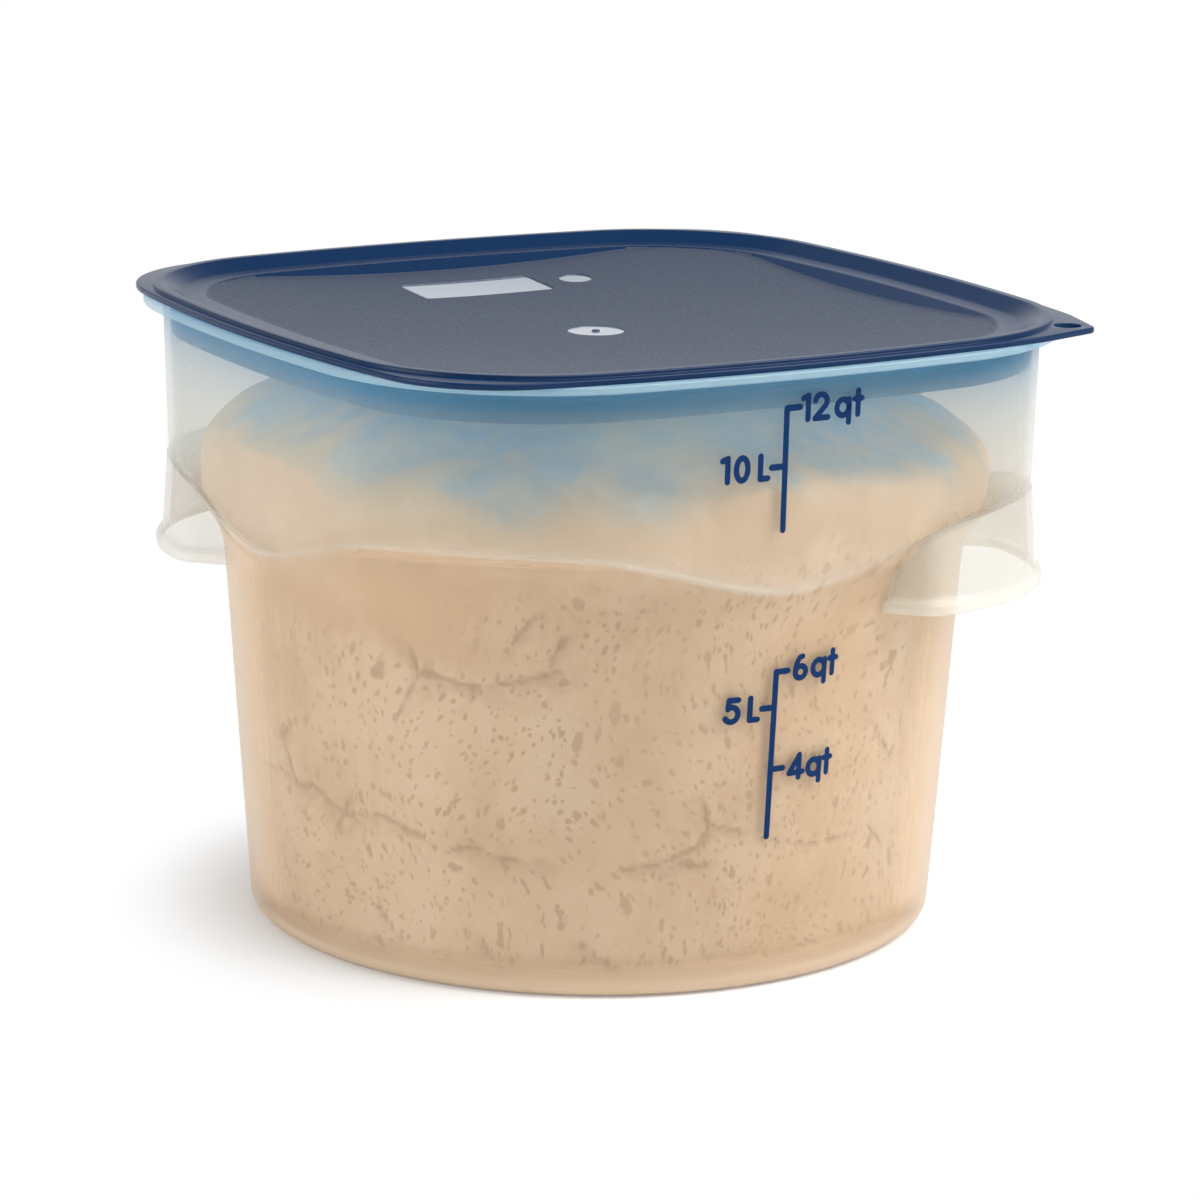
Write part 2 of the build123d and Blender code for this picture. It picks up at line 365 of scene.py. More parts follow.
# %% Tub
def make_tub():
    """The wall's closed path, carried round the mouth."""
    angles = full_circle(TUB_COLUMNS)
    rim_top = RIM_HEIGHT - LID_GAP
    floor_edge = edge_arc(FLOOR_LEVEL, TUB_WALL, BASE_EDGE_RADIUS - TUB_WALL)
    inner = [(share * floor_edge[0][0], FLOOR_LEVEL) for share in FLOOR_SHARES] + floor_edge
    inner += straight_wall(floor_edge[-1][1], TUB_WALL)
    inner += shoulder(angles, TUB_WALL, rim_top - RIM_SOFTNESS)
    rim = softened(
        [
            (mouth_radius(angles, RIM_HEIGHT - 2 * RIM_SOFTNESS, -TUB_WALL), rim_top - 2 * RIM_SOFTNESS),
            (mouth_radius(angles, RIM_HEIGHT, -TUB_WALL), rim_top),
            (mouth_radius(angles, RIM_HEIGHT, RIM_REACH), rim_top),
            (mouth_radius(angles, RIM_HEIGHT, RIM_REACH), RIM_UNDER),
            (mouth_radius(angles, RIM_UNDER), RIM_UNDER),
            (mouth_radius(angles, RIM_UNDER - 2 * RIM_SOFTNESS), RIM_UNDER - 2 * RIM_SOFTNESS),
        ],
        [RIM_SOFTNESS / 2, RIM_SOFTNESS, RIM_SOFTNESS, RIM_SOFTNESS],
        TUB_COLUMNS,
    )
    base_edge = edge_arc(0.0, 0.0, BASE_EDGE_RADIUS)
    outer = base_edge + straight_wall(base_edge[-1][1]) + shoulder(angles, 0.0, RIM_UNDER - 3 * RIM_SOFTNESS)
    recess = [
        (FOOT_RING_INNER_RADIUS + FOOT_RING_SOFTNESS, 0.0),
        (FOOT_RING_INNER_RADIUS + FOOT_RING_SOFTNESS / 4, FOOT_RING_SOFTNESS / 4),
        (FOOT_RING_INNER_RADIUS, FOOT_RING_SOFTNESS),
        (FOOT_RING_INNER_RADIUS, BASE_RECESS_DEPTH - RECESS_SOFTNESS),
        (FOOT_RING_INNER_RADIUS - RECESS_SOFTNESS, BASE_RECESS_DEPTH),
    ]
    recess += [(share * FOOT_RING_INNER_RADIUS, BASE_RECESS_DEPTH) for share in FLOOR_SHARES[::-1]]
    rings = polar_rings(angles, inner + rim[1:-1] + outer[::-1] + recess)
    return ring_piece("tub_moulding", rings, (0, 0, FLOOR_LEVEL), (0, 0, BASE_RECESS_DEPTH))


tub_moulding = make_tub()
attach(tub_moulding, "tub")
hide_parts("tub")

# %% [markdown]
# ## The handles
# At two opposite corners a thin skirt hangs from the shoulder, and fingers hook under it. Every outline of
# the skirt, inside and outside, at the top and at the flared lip, is the same core outline grown by some
# distance: the corner's arc, a bit of the two sides, a bend, and a straight end that runs into the body. So
# one row of core points with their outward directions is enough, and the skirt is that row pushed out by a
# different amount at each height. Its top follows the underside of the shoulder, which is found by halving
# an interval.

# %% Handle sizes
HANDLE_WALL = 2.2
HANDLE_HALF_LENGTH = 54.0
HANDLE_BOTTOM = 129.0
HANDLE_BEND = 8.0
HANDLE_STEP = 0.5
HANDLE_RIDGE = 1.0
HANDLE_FLARE = 2.3
HANDLE_LIP_REACH = 4.8
HANDLE_LIP_TOP = 132.0
HANDLE_BLEND_TOP = 135.0
HANDLE_ROOT = 119.2
HANDLE_EDGE = 0.8
HANDLE_CORNER_STEPS = 30
HANDLE_BEND_STEPS = 14
HANDLE_END_STEPS = 12
HANDLE_LIP_SHARE = 0.25      # of the skirt's height, where its rows are closer together
HANDLE_LIP_STEPS = 8
HANDLE_SKIRT_STEPS = 13
HALVINGS = 30


# %% Handle outline
def ramp(value, start, end):
    """0 up to start, 1 from end on, and a straight line between. End may lie below start."""
    return np.clip((value - start) / (end - start), 0, 1)


def eased(share):
    """A share from 0 to 1 with a soft start and a soft end."""
    return share**2 * (3 - 2 * share)


def handle_core():
    """Core points and outward directions of one skirt, in the diagonal's axes: along it, and across it."""
    shift = -HANDLE_BEND - (RIM_HEIGHT - SHOULDER_HEIGHT) * MOUTH_DRAFT
    half, bow, corner = MOUTH_HALF + shift, MOUTH_BOW + shift, MOUTH_CORNER + shift
    setback = bow - half
    centre = corner_centre(half, bow, corner)
    side_turn = math.pi / 4 - math.atan2(centre, centre + setback)
    core_half = HANDLE_HALF_LENGTH - HANDLE_BEND
    bend_turn = math.asin((core_half + setback / math.sqrt(2)) / bow)
    bend_along = bow * math.cos(bend_turn) - setback / math.sqrt(2)
    arc = np.linspace(0, side_turn, HANDLE_CORNER_STEPS)
    turning = np.linspace(bend_turn, math.pi / 2, HANDLE_BEND_STEPS)
    end = np.linspace(bend_along, HANDLE_ROOT, HANDLE_END_STEPS)[1:]
    straight = np.full(len(end), math.pi / 2)
    turn = np.concatenate([arc, turning, straight])
    along = [math.sqrt(2) * centre + corner * np.cos(arc), np.full(len(turning), bend_along), end]
    across = [corner * np.sin(arc), np.full(len(turning) + len(end), core_half)]
    half_core = np.stack([np.concatenate(along), np.concatenate(across)])
    half_direction = np.stack([np.cos(turn), np.sin(turn)])
    mirror = np.array([[1.0], [-1.0]])
    return [np.concatenate([(row * mirror)[:, :0:-1], row], axis=1) for row in (half_core, half_direction)]


def skirt_reach(height):
    """How far the skirt's outside stands out: a straight lean, and a lip that swells near the bottom."""
    top = SHOULDER_HEIGHT + HANDLE_RIDGE
    lean = HANDLE_STEP + (top - height) / (top - HANDLE_BLEND_TOP) * (HANDLE_FLARE - HANDLE_STEP)
    return lean + eased(ramp(height, HANDLE_BLEND_TOP, HANDLE_LIP_TOP)) * (HANDLE_LIP_REACH - lean)


def under_shoulder(distance):
    """Height of the shoulder's outside at a distance from the middle."""
    overhang = np.clip(BEND_CENTRE - distance, 0, SHOULDER_RADIUS * math.cos(DRAFT_TURN))
    return BEND_HEIGHT + np.sqrt(SHOULDER_RADIUS**2 - overhang**2)


# %% Handles
def make_handle(name, diagonal):
    """A closed skirt: each column is a loop up its outside and down its inside."""
    core, direction = handle_core()

    def at(reach):
        """The core pushed out to a reach."""
        return core + (HANDLE_BEND + reach) * direction

    low = np.full(core.shape[1], HANDLE_BOTTOM)
    high = np.full(core.shape[1], SHOULDER_HEIGHT + HANDLE_RIDGE)
    for _ in range(HALVINGS):
        middle = (low + high) / 2
        above = middle > under_shoulder(np.hypot(*at(skirt_reach(middle)))) + HANDLE_RIDGE
        high = np.where(above, middle, high)
        low = np.where(above, low, middle)
    foot = HANDLE_BOTTOM + HANDLE_EDGE
    lip_rise = np.linspace(0, HANDLE_LIP_SHARE, HANDLE_LIP_STEPS, endpoint=False)
    rise = np.concatenate([lip_rise, np.linspace(HANDLE_LIP_SHARE, 1, HANDLE_SKIRT_STEPS)])
    heights = [foot + share * (high - foot) for share in rise]
    inside = HANDLE_LIP_REACH - HANDLE_WALL
    nick = HANDLE_EDGE / 4
    loop = [(HANDLE_LIP_REACH - HANDLE_EDGE, HANDLE_BOTTOM), (HANDLE_LIP_REACH - nick, HANDLE_BOTTOM + nick)]
    loop += [(skirt_reach(height), height) for height in heights]
    loop += [(skirt_reach(height) - HANDLE_WALL, height) for height in heights[::-1]]
    loop += [(inside + nick, HANDLE_BOTTOM + nick), (inside + HANDLE_EDGE, HANDLE_BOTTOM)]
    turn = math.radians(diagonal)
    rings = np.empty((core.shape[1], len(loop), 3))
    for index, (reach, height) in enumerate(loop):
        along, across = at(reach)
        rings[:, index, 0] = along * math.cos(turn) - across * math.sin(turn)
        rings[:, index, 1] = along * math.sin(turn) + across * math.cos(turn)
        rings[:, index, 2] = height
    return ring_piece(name, rings, rings[0].mean(axis=0), rings[-1].mean(axis=0))


handle_right = make_handle("handle_right", -45)
handle_left = make_handle("handle_left", 135)
for piece in (handle_right, handle_left):
    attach(piece, "tub")
    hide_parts("tub")

# %% [markdown]
# ## The lid
# The lid is one moulding too. From the middle outwards its top runs over the gate's nub and disc, across
# the dished panel, up a slope to a flat ledge, up the wall of the tray to the raised bead, and down to the
# flange. Underneath it returns along the rib that plugs the mouth and below the tray and the dish. The
# flange has one blunter corner, and one corner that is drawn out to a pointed tab. All of it is again star
# shaped, so it is one closed path carried round, with more columns of points where the tab is.

# %% Lid outline
LID_HALF = 143.0
LID_BOW = 698.6
LID_CORNER = 44.0
LID_BLUNT_CORNER = 54.0
TAB_ANGLE = -45.0
TAB_REACH = 5.4
TAB_TIP_RADIUS = 5.0
LID_COLUMNS = 560
TAB_COLUMNS = 110
TAB_SPREAD = 9.0


def lid_angles():
    """Even columns all round, with closely spaced ones across the tab."""
    even = np.linspace(-180, 180, LID_COLUMNS, endpoint=False)
    close = np.linspace(TAB_ANGLE - TAB_SPREAD, TAB_ANGLE + TAB_SPREAD, TAB_COLUMNS)
    away = np.abs(even - TAB_ANGLE) > TAB_SPREAD
    return np.radians(np.sort(np.concatenate([even[away], close])))


def flange_radius(angles, inward=0.0):
    """The flange's outline: the bowed square with one blunt corner, or the tab's tangent lines and round tip
    where they reach further. Moving an outline inwards takes the same length off every radius in it."""
    blunt = (angles > math.pi / 2) & (angles < math.pi)
    corner = np.where(blunt, LID_BLUNT_CORNER, LID_CORNER) - inward
    square = outline_radius(angles, LID_HALF - inward, LID_BOW - inward, corner)
    centre = math.sqrt(2) * corner_centre(LID_HALF, LID_BOW, LID_CORNER)
    tip = centre + LID_CORNER + TAB_REACH - TAB_TIP_RADIUS
    lean = math.acos((LID_CORNER - TAB_TIP_RADIUS) / (tip - centre))
    away = np.abs(angles - math.radians(TAB_ANGLE))
    line = (centre * math.cos(lean) + LID_CORNER - inward) / np.cos(np.minimum(away - lean, 0))
    radius = TAB_TIP_RADIUS - inward
    round_tip = tip * np.cos(away) + np.sqrt(np.maximum(radius**2 - (tip * np.sin(away)) ** 2, 0))
    tip_turn = math.atan2(radius * math.sin(lean), tip + radius * math.cos(lean))
    corner_radius = LID_CORNER - inward
    line_turn = math.atan2(corner_radius * math.sin(lean), centre + corner_radius * math.cos(lean))
    return np.where(away < tip_turn, round_tip, np.where(away < line_turn, line, square))


flange_reach = flange_radius(lid_angles())
print("tab reaches", round(float(flange_reach.max()), 1), "mm from the middle")

# %% [markdown]
# The panel is a very shallow bowl, part of a large sphere. Where it meets the slope at each angle is again
# found by stepping. Every corner of the path has its own softness: wide on the bead, which catches the
# bright line that runs round the lid, and small at the foot of the flange.

# %% Lid sizes
BEAD_HALF = 136.5
BEAD_BOW = 736.2
BEAD_CORNER = 65.0
BEAD_WIDTH = 3.5
LID_TOP = 223.1
CREST = 224.4
LEDGE = 220.4
LID_WALL = 2.2
TRAY_RUN = 7.7
LEDGE_WIDTH = 7.3
DISH_LEVEL = 211.5
DISH_RADIUS = 1266.0
DISH_RUN_SHARE = 2.36
PLUG_BOTTOM = 207.0
PLUG_GAP = 3.1
PLUG_WALL = 2.0
PANEL_RINGS = 26
UNDER_SHARES = (0.9, 0.75, 0.6, 0.4, 0.2)
SLOPE_ROUNDS = 40
MARK_DEPTH = 0.3
GATE_MARK_RADIUS = 10.2
GATE_APRON_RADIUS = 1.2 * GATE_MARK_RADIUS
GATE_NUB_RADIUS = 1.5
GATE_NUB_TOP_RADIUS = 0.3
GATE_NUB_HEIGHT = 0.6
GATE_SOFTNESS = (0.3, 0.1, 0.1, 0.15)
LID_SOFTNESS = (2.0, 0.8, 1.2, 0.7, 1.1, 0.35, 0.7, 0.7, 0.5, 0.6, 0.6, 0.5, 0.8, 0.8, 2.0)
LID_SHARP_DEGREES = 30.0


# %% Lid panel
def bead_radius(angles, outward):
    """The outline that bead, tray and panel share, moved outwards from the bead's crest."""
    return outline_radius(angles, BEAD_HALF + outward, BEAD_BOW + outward, BEAD_CORNER + outward)


def bowl_height(distance, lowering=0.0):
    """Height of the panel's sphere at a distance from the middle, or of a parallel sphere below it."""
    return DISH_LEVEL + DISH_RADIUS - np.sqrt((DISH_RADIUS + lowering) ** 2 - distance**2)


def slope_foot(angles, lowering):
    """Where the slope down from the ledge meets the bowl, as radius and height."""
    ledge = LEDGE - lowering
    height = np.full(len(angles), ledge)
    for _ in range(SLOPE_ROUNDS):
        outward = -TRAY_RUN - LEDGE_WIDTH - (ledge - height) * DISH_RUN_SHARE
        radius = bead_radius(angles, outward)
        height = (height + bowl_height(radius, lowering)) / 2
    return radius, height


# %% Lid
def make_lid():
    """The lid's closed path, carried round."""
    angles = lid_angles()
    foot_radius, foot_height = slope_foot(angles, 0.0)
    under_radius, under_height = slope_foot(angles, LID_WALL)
    floor = DISH_LEVEL - MARK_DEPTH
    gate = softened(
        [
            (GATE_NUB_TOP_RADIUS, floor + GATE_NUB_HEIGHT),
            (GATE_NUB_RADIUS, floor + GATE_NUB_HEIGHT),
            (GATE_NUB_RADIUS, floor),
            (GATE_MARK_RADIUS, bowl_height(GATE_MARK_RADIUS, MARK_DEPTH)),
            (GATE_MARK_RADIUS, bowl_height(GATE_MARK_RADIUS)),
            (GATE_APRON_RADIUS, bowl_height(GATE_APRON_RADIUS)),
        ],
        GATE_SOFTNESS,
        len(angles),
    )
    panel = []
    for share in np.linspace(0, 1, PANEL_RINGS)[1:-1]:
        radius = GATE_APRON_RADIUS + share * (foot_radius - GATE_APRON_RADIUS)
        panel.append((radius, bowl_height(radius)))
    under = [(share * under_radius, bowl_height(share * under_radius, LID_WALL)) for share in UNDER_SHARES]
    plug_outer = mouth_radius(angles, RIM_HEIGHT, -PLUG_GAP)
    plug_inner = mouth_radius(angles, RIM_HEIGHT, -PLUG_GAP - PLUG_WALL)
    tray_foot = bead_radius(angles, -TRAY_RUN)
    tray_rise = (CREST - LEDGE) / TRAY_RUN
    plug_top = LEDGE - LID_WALL + (plug_inner - tray_foot) * tray_rise
    edge = flange_radius(angles)
    shell = softened(
        [
            panel[-1],
            (foot_radius, foot_height),
            (bead_radius(angles, -TRAY_RUN - LEDGE_WIDTH), LEDGE),
            (tray_foot, LEDGE),
            (bead_radius(angles, 0.0), CREST),
            (bead_radius(angles, BEAD_WIDTH), CREST),
            (bead_radius(angles, BEAD_WIDTH), LID_TOP),
            (edge, LID_TOP),
            (edge, RIM_HEIGHT),
            (plug_outer, RIM_HEIGHT),
            (plug_outer, PLUG_BOTTOM),
            (plug_inner, PLUG_BOTTOM),
            (plug_inner, plug_top),
            (tray_foot, LEDGE - LID_WALL),
            (bead_radius(angles, -TRAY_RUN - LEDGE_WIDTH), LEDGE - LID_WALL),
            (under_radius, under_height),
            under[0],
        ],
        LID_SOFTNESS,
        len(angles),
    )
    rings = polar_rings(angles, gate + panel + shell[1:] + under[1:])
    first_pole = (0, 0, floor + GATE_NUB_HEIGHT)
    last_pole = (0, 0, bowl_height(0.0, LID_WALL))
    return ring_piece("lid_moulding", rings, first_pole, last_pole, LID_SHARP_DEGREES)


lid_moulding = make_lid()
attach(lid_moulding, "lid")
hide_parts("lid")

# %% [markdown]
# ## The lid's hole and marks
# The hanging hole and the two marks that lie off the centre aren't round about the middle, so they are cut
# out afterwards with the Boolean modifier. The hole's cutter is a spool that flares at both ends, which
# softens the edges of the hole. The marks' cutters have a bottom that follows the panel's bowl at the depth
# of the mark.

# %% Sizes of the hole and marks
HOLE_RADIUS = 4.8
HOLE_INSET = 9.4
HOLE_SOFTNESS = 0.4
HOLE_COLUMNS = 64
HOLE_EDGE_RINGS = 5
DATE_PLACE = (40.5, 86.1)
DATE_RADIUS = 6.3
DATE_COLUMNS = 72
PAD_PLACE = (-2.0, 85.4)
PAD_LENGTH = 54.5
PAD_WIDTH = 22.5
PAD_CORNER = 1.5
PAD_CORNER_SPREAD = 0.07
PAD_CORNER_COLUMNS = 15
PAD_COLUMNS = 24
MARK_SHARES = (0.2, 0.4, 0.6, 0.8, 1.0)
CUTTER_RISE = 5.0


# %% Cutters
def hole_cutter():
    """A spool through the flange: the hole's radius in the middle, wider at both faces."""
    stations = [(HOLE_RADIUS + 2 * HOLE_SOFTNESS, RIM_HEIGHT - HOLE_SOFTNESS)]
    for turn in np.linspace(0, math.pi / 2, HOLE_EDGE_RINGS):
        radius = HOLE_RADIUS + HOLE_SOFTNESS * (1 - math.sin(turn))
        stations.append((radius, RIM_HEIGHT + HOLE_SOFTNESS * (1 - math.cos(turn))))
    stations += [(radius, RIM_HEIGHT + LID_TOP - height) for radius, height in stations[::-1]]
    turn = math.radians(TAB_ANGLE)
    reach = float(flange_radius(np.array([turn]))[0]) - HOLE_INSET
    centre = np.array([math.cos(turn), math.sin(turn), 0.0]) * reach
    rings = polar_rings(full_circle(HOLE_COLUMNS), stations) + centre
    return ring_piece("cutter_hole", rings, centre + [0, 0, stations[0][1]], centre + [0, 0, stations[-1][1]])


def mark_cutter(name, place, angles, radius):
    """A star-shaped outline round a place, with shrunken copies on the lowered bowl and a flat top above."""
    rings = []
    for share in MARK_SHARES:
        x = place[0] + share * radius * np.cos(angles)
        y = place[1] + share * radius * np.sin(angles)
        rings.append(np.stack([x, y, bowl_height(np.hypot(x, y), MARK_DEPTH)], axis=-1))
    rings.append(rings[-1] + [0, 0, CUTTER_RISE])
    middle = (*place, float(bowl_height(math.hypot(*place), MARK_DEPTH)))
    above = (*place, middle[2] + CUTTER_RISE)
    return ring_piece(name, np.stack(rings), middle, above)


def pad_radius(angles):
    """Distance from the pad's middle to its outline, a rectangle with round corners."""
    half = np.array([PAD_LENGTH / 2, PAD_WIDTH / 2])
    direction = np.abs(np.stack([np.cos(angles), np.sin(angles)]))
    straight = np.min(half[:, None] / np.maximum(direction, TINY), axis=0)
    corner = half - PAD_CORNER
    along = corner @ direction
    across = corner[0] * direction[1] - corner[1] * direction[0]
    rounded = along + np.sqrt(np.maximum(PAD_CORNER**2 - across**2, 0))
    in_corner = np.all(straight * direction > corner[:, None], axis=0)
    return np.where(in_corner, rounded, straight)


# %% Hole and marks
def cut_away(piece, cutters):
    """Applies a Boolean difference for each cutter, and removes the cutters."""
    for cutter in cutters:
        modifier = piece.modifiers.new(cutter.name, "BOOLEAN")
        modifier.operation = "DIFFERENCE"
        modifier.solver = "EXACT"
        modifier.object = cutter
    depsgraph = bpy.context.evaluated_depsgraph_get()
    mesh = bpy.data.meshes.new_from_object(piece.evaluated_get(depsgraph))
    piece.modifiers.clear()
    piece.data = mesh
    for cutter in cutters:
        bpy.data.objects.remove(cutter)
    print(piece.name, "after cutting:", len(mesh.polygons), "faces")


pad_turn = math.atan2(PAD_WIDTH, PAD_LENGTH)
pad_corners = [pad_turn, math.pi - pad_turn, math.pi + pad_turn, 2 * math.pi - pad_turn]
spread = np.linspace(-PAD_CORNER_SPREAD, PAD_CORNER_SPREAD, PAD_CORNER_COLUMNS)
pad_angles = np.sort(np.concatenate([*[turn + spread for turn in pad_corners], full_circle(PAD_COLUMNS)]))
cut_away(lid_moulding, [
    hole_cutter(),
    mark_cutter("cutter_date", DATE_PLACE, full_circle(DATE_COLUMNS), DATE_RADIUS),
    mark_cutter("cutter_pad", PAD_PLACE, pad_angles, pad_radius(pad_angles)),
])

# %% [markdown]
# ## The graduations
# The scale is printed in ink on one side: a line with ticks, and round-ended strokes for the numbers. No
# font is needed, because each sign is a few strokes, as a sign writer would paint them. A stroke is a path
# in the plane of the print, with a width. It is laid onto the wall and given a very small thickness, so
# that the ink is a thin closed film and not a picture.

# %% Signs and lines
INK_WIDTH = 2.15
LINE_WIDTH = 2.25
INK_HALF_FILM = 0.06
INK_FLAT_SHARE = 0.93
INK_TIP_SHARE = 0.02
CAP_STEPS = 6


def bowed(centre, radii, start, end, steps=22):
    """Points along an ellipse's arc, from start to end in degrees."""
    turns = np.radians(np.linspace(start, end, steps))
    return np.stack([centre[0] + radii[0] * np.cos(turns), centre[1] + radii[1] * np.sin(turns)], axis=-1)


# The strokes of each sign, in millimetres, from its left end on the base line, and for t from its stem.
# Capitals are 8 mm tall.
GLYPHS = {
    "0": [bowed((2.2, 3.9), (2.2, 3.85), 0, 360, 40)],
    "1": [[(0.0, 7.3), (1.95, 8.0)], [(1.95, 8.0), (1.95, 0.0)]],
    "2": [[*bowed((2.4, 5.65), (2.35, 2.35), 168, -38), (0.15, 0.0)], [(0.15, 0.0), (5.2, 0.0)]],
    "4": [[(3.9, 8.0), (0.0, 1.8)], [(0.0, 1.8), (5.5, 1.8)], [(3.9, 8.0), (3.9, 0.0)]],
    "5": [
        [(1.3, 7.6), (4.5, 7.6)], [(1.3, 7.6), (0.95, 4.6)],
        [(0.95, 4.6), *bowed((2.2, 2.55), (2.45, 2.6), 118, -148)],
    ],
    "6": [
        [(2.75, 7.6), *bowed((6.2, 2.4), (6.1, 7.4), 138, 180, 12)],
        bowed((2.2, 2.1), (2.15, 2.1), 0, 360),
    ],
    "L": [[(0.0, 7.7), (0.0, 0.0)], [(0.0, 0.0), (2.9, 0.0)]],
    "q": [bowed((2.45, 2.75), (2.45, 2.7), 0, 360, 32), [(4.9, 5.4), (4.9, -2.4)]],
    "t": [[(0.0, 8.0), (0.0, 0.0)], [(-1.35, 5.4), (1.45, 5.4)]],
}
UPPER_LINE = -5.7
LOWER_LINE = -4.1
LINES = [                 # the place and height of both ends of each line
    [(UPPER_LINE, 207.4), (UPPER_LINE, 165.6)],
    [(UPPER_LINE, 207.4), (-0.5, 207.4)],
    [(UPPER_LINE, 187.5), (-10.9, 187.5)],
    [(LOWER_LINE, 115.1), (LOWER_LINE, 56.0)],
    [(LOWER_LINE, 115.1), (0.4, 115.1)],
    [(LOWER_LINE, 102.5), (-8.9, 102.5)],
    [(LOWER_LINE, 80.2), (0.7, 80.2)],
]
LABELS = [                # signs, the left end of each, and the height of their base line
    ("12qt", (0.7, 5.4, 14.2, 22.8), 203.0),
    ("10L", (-29.9, -24.6, -15.3), 184.0),
    ("6qt", (3.5, 10.9, 19.3), 111.9),
    ("5L", (-22.5, -13.4), 98.9),
    ("4qt", (3.6, 11.4, 19.6), 76.0),
]


# %% Graduations
def on_wall(x, height, lift):
    """A point on the tub's graduated side at x and a height, lifted off the wall: the square wall above the
    shoulder, and the round body below it."""
    square_bow = MOUTH_BOW - (RIM_HEIGHT - height) * MOUTH_DRAFT + lift
    square = np.sqrt(square_bow**2 - x**2) - (MOUTH_BOW - MOUTH_HALF)
    body = np.sqrt((body_radius(height) + lift) ** 2 - x**2)
    depth = np.where(height > SHOULDER_HEIGHT, square, body)
    return np.stack([x, -depth, height], axis=-1)


def stroke(path, width):
    """Rings along a path: flat rounded sections, narrowed to a half circle at open ends."""
    path = np.array(path, dtype=float)
    closed = np.allclose(path[0], path[-1])
    if closed:
        path = path[:-1]
        ahead = np.roll(path, -1, axis=0) - np.roll(path, 1, axis=0)
        share = np.ones(len(path))
    else:
        ahead = np.gradient(path, axis=0)
        turns = np.linspace(0, math.pi / 2, CAP_STEPS + 1)[:-1]
        first = path[0] - np.outer(np.cos(turns), ahead[0] / np.hypot(*ahead[0])) * width / 2
        last = path[-1] + np.outer(np.cos(turns[::-1]), ahead[-1] / np.hypot(*ahead[-1])) * width / 2
        share = np.concatenate([np.sin(turns), np.ones(len(path)), np.sin(turns[::-1])])
        ahead = np.pad(ahead, ((len(turns), len(turns)), (0, 0)), mode="edge")
        path = np.concatenate([first, path, last])
    side = np.stack([-ahead[:, 1], ahead[:, 0]], axis=-1) / np.hypot(*ahead.T)[:, None]
    flat = INK_FLAT_SHARE
    section = np.array([(1, 0), (flat, 1), (-flat, 1), (-1, 0), (-flat, -1), (flat, -1)])
    half = np.maximum(share, INK_TIP_SHARE)[:, None] * width / 2
    across = path[:, None, :] + side[:, None, :] * (half * section[:, 0])[:, :, None]
    lift = np.broadcast_to(section[:, 1] * INK_HALF_FILM, across.shape[:2])
    return on_wall(across[..., 0], across[..., 1], lift), closed


def make_graduations():
    """All strokes as one piece."""
    strokes = [(line, LINE_WIDTH) for line in LINES]
    for signs, places, base_line in LABELS:
        for sign, place in zip(signs, places):
            strokes += [(np.array(path) + [place, base_line], INK_WIDTH) for path in GLYPHS[sign]]
    points, faces, start = [], [], 0
    for path, width in strokes:
        rings, closed = stroke(path, width)
        count, size, _ = rings.shape
        points.append(rings.reshape(-1, 3))
        faces.append(ring_faces(count + closed, size) % (count * size) + start)
        if not closed:
            faces.append(np.arange(size)[None, ::-1] + start)
            faces.append(np.arange(size)[None, :] + start + (count - 1) * size)
        start += count * size
    return add_piece("graduations", np.concatenate(points), faces)


graduations = make_graduations()
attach(graduations, "tub")

# %% [markdown]
# ## The dough
# The container is shown at work, full of risen dough. The dough presses against the round wall, swells past
# the shoulder in soft lobes that don't fill the square corners, and domes over below the lid. So its
# surface is the inside of the wall, moved in by a hair and limited by a rounded dome, both of which are
# formulas of the angle and the height. The columns of points stand closer on the two sides that the camera
# sees.

# %% Dough sizes
DOUGH_GAP = 0.25
DOUGH_INSET = TUB_WALL + DOUGH_GAP
DOUGH_FLOOR = FLOOR_LEVEL + DOUGH_GAP
DOUGH_FLOOR_SHARES = (0.4, 0.8)
DOUGH_SWELL_HEIGHT = 158.0
DOUGH_TOP = 203.0
DOUGH_TOP_DIP = 4
DOUGH_DOME_SHARE = 0.67
DOUGH_REACH = 141.0
DOUGH_LOBE_WAVES = ((2.5, 150, 3),)       # strength, length and seed
DOUGH_NEAR_SIDE = (168.0, 303.0)
DOUGH_COLUMNS = (440, 290)
DOUGH_BANDS = [(6.5, 40, 11), (40, 80, 30), (80, 92, 4), (92, 140, 36), (140, DOUGH_SWELL_HEIGHT, 7)]
DOUGH_DOME_STEPS = 30
WAVE_COUNT = 9
WAVE_SPREAD = (0.7, 1.4)


# %% Smooth dough
def waves(points, length, seed):
    """A smooth random field: the sum of sine waves of about one length, each in a random direction."""
    random = np.random.default_rng(seed)
    directions = random.normal(size=(WAVE_COUNT, 3))
    directions /= np.linalg.norm(directions, axis=1)[:, None]
    lengths = length * random.uniform(*WAVE_SPREAD, WAVE_COUNT)
    phases = random.uniform(0, 2 * math.pi, WAVE_COUNT)
    angle = points @ (directions * (2 * math.pi / lengths)[:, None]).T + phases
    return np.sin(angle).sum(axis=-1) / math.sqrt(WAVE_COUNT)


def wave_sum(points, layers):
    """Waves of several lengths added up: each layer has a strength, a length in millimetres and a seed."""
    return sum(strength * waves(points, length, seed) for strength, length, seed in layers)


def room_radius(angles, heights):
    """How far the dough has room: to the round wall, the flare above it, or the square wall if nearer."""
    radius = SHOULDER_RADIUS + DOUGH_INSET
    rise = np.clip(heights - BEND_HEIGHT, 0, radius)
    flare = BEND_CENTRE - np.sqrt(radius**2 - rise**2)
    straight = body_radius(heights, DOUGH_INSET)
    rounded = np.where(rise > radius * math.sin(DRAFT_TURN), flare, straight)
    return np.minimum(rounded, mouth_radius(angles, heights, -DOUGH_INSET))


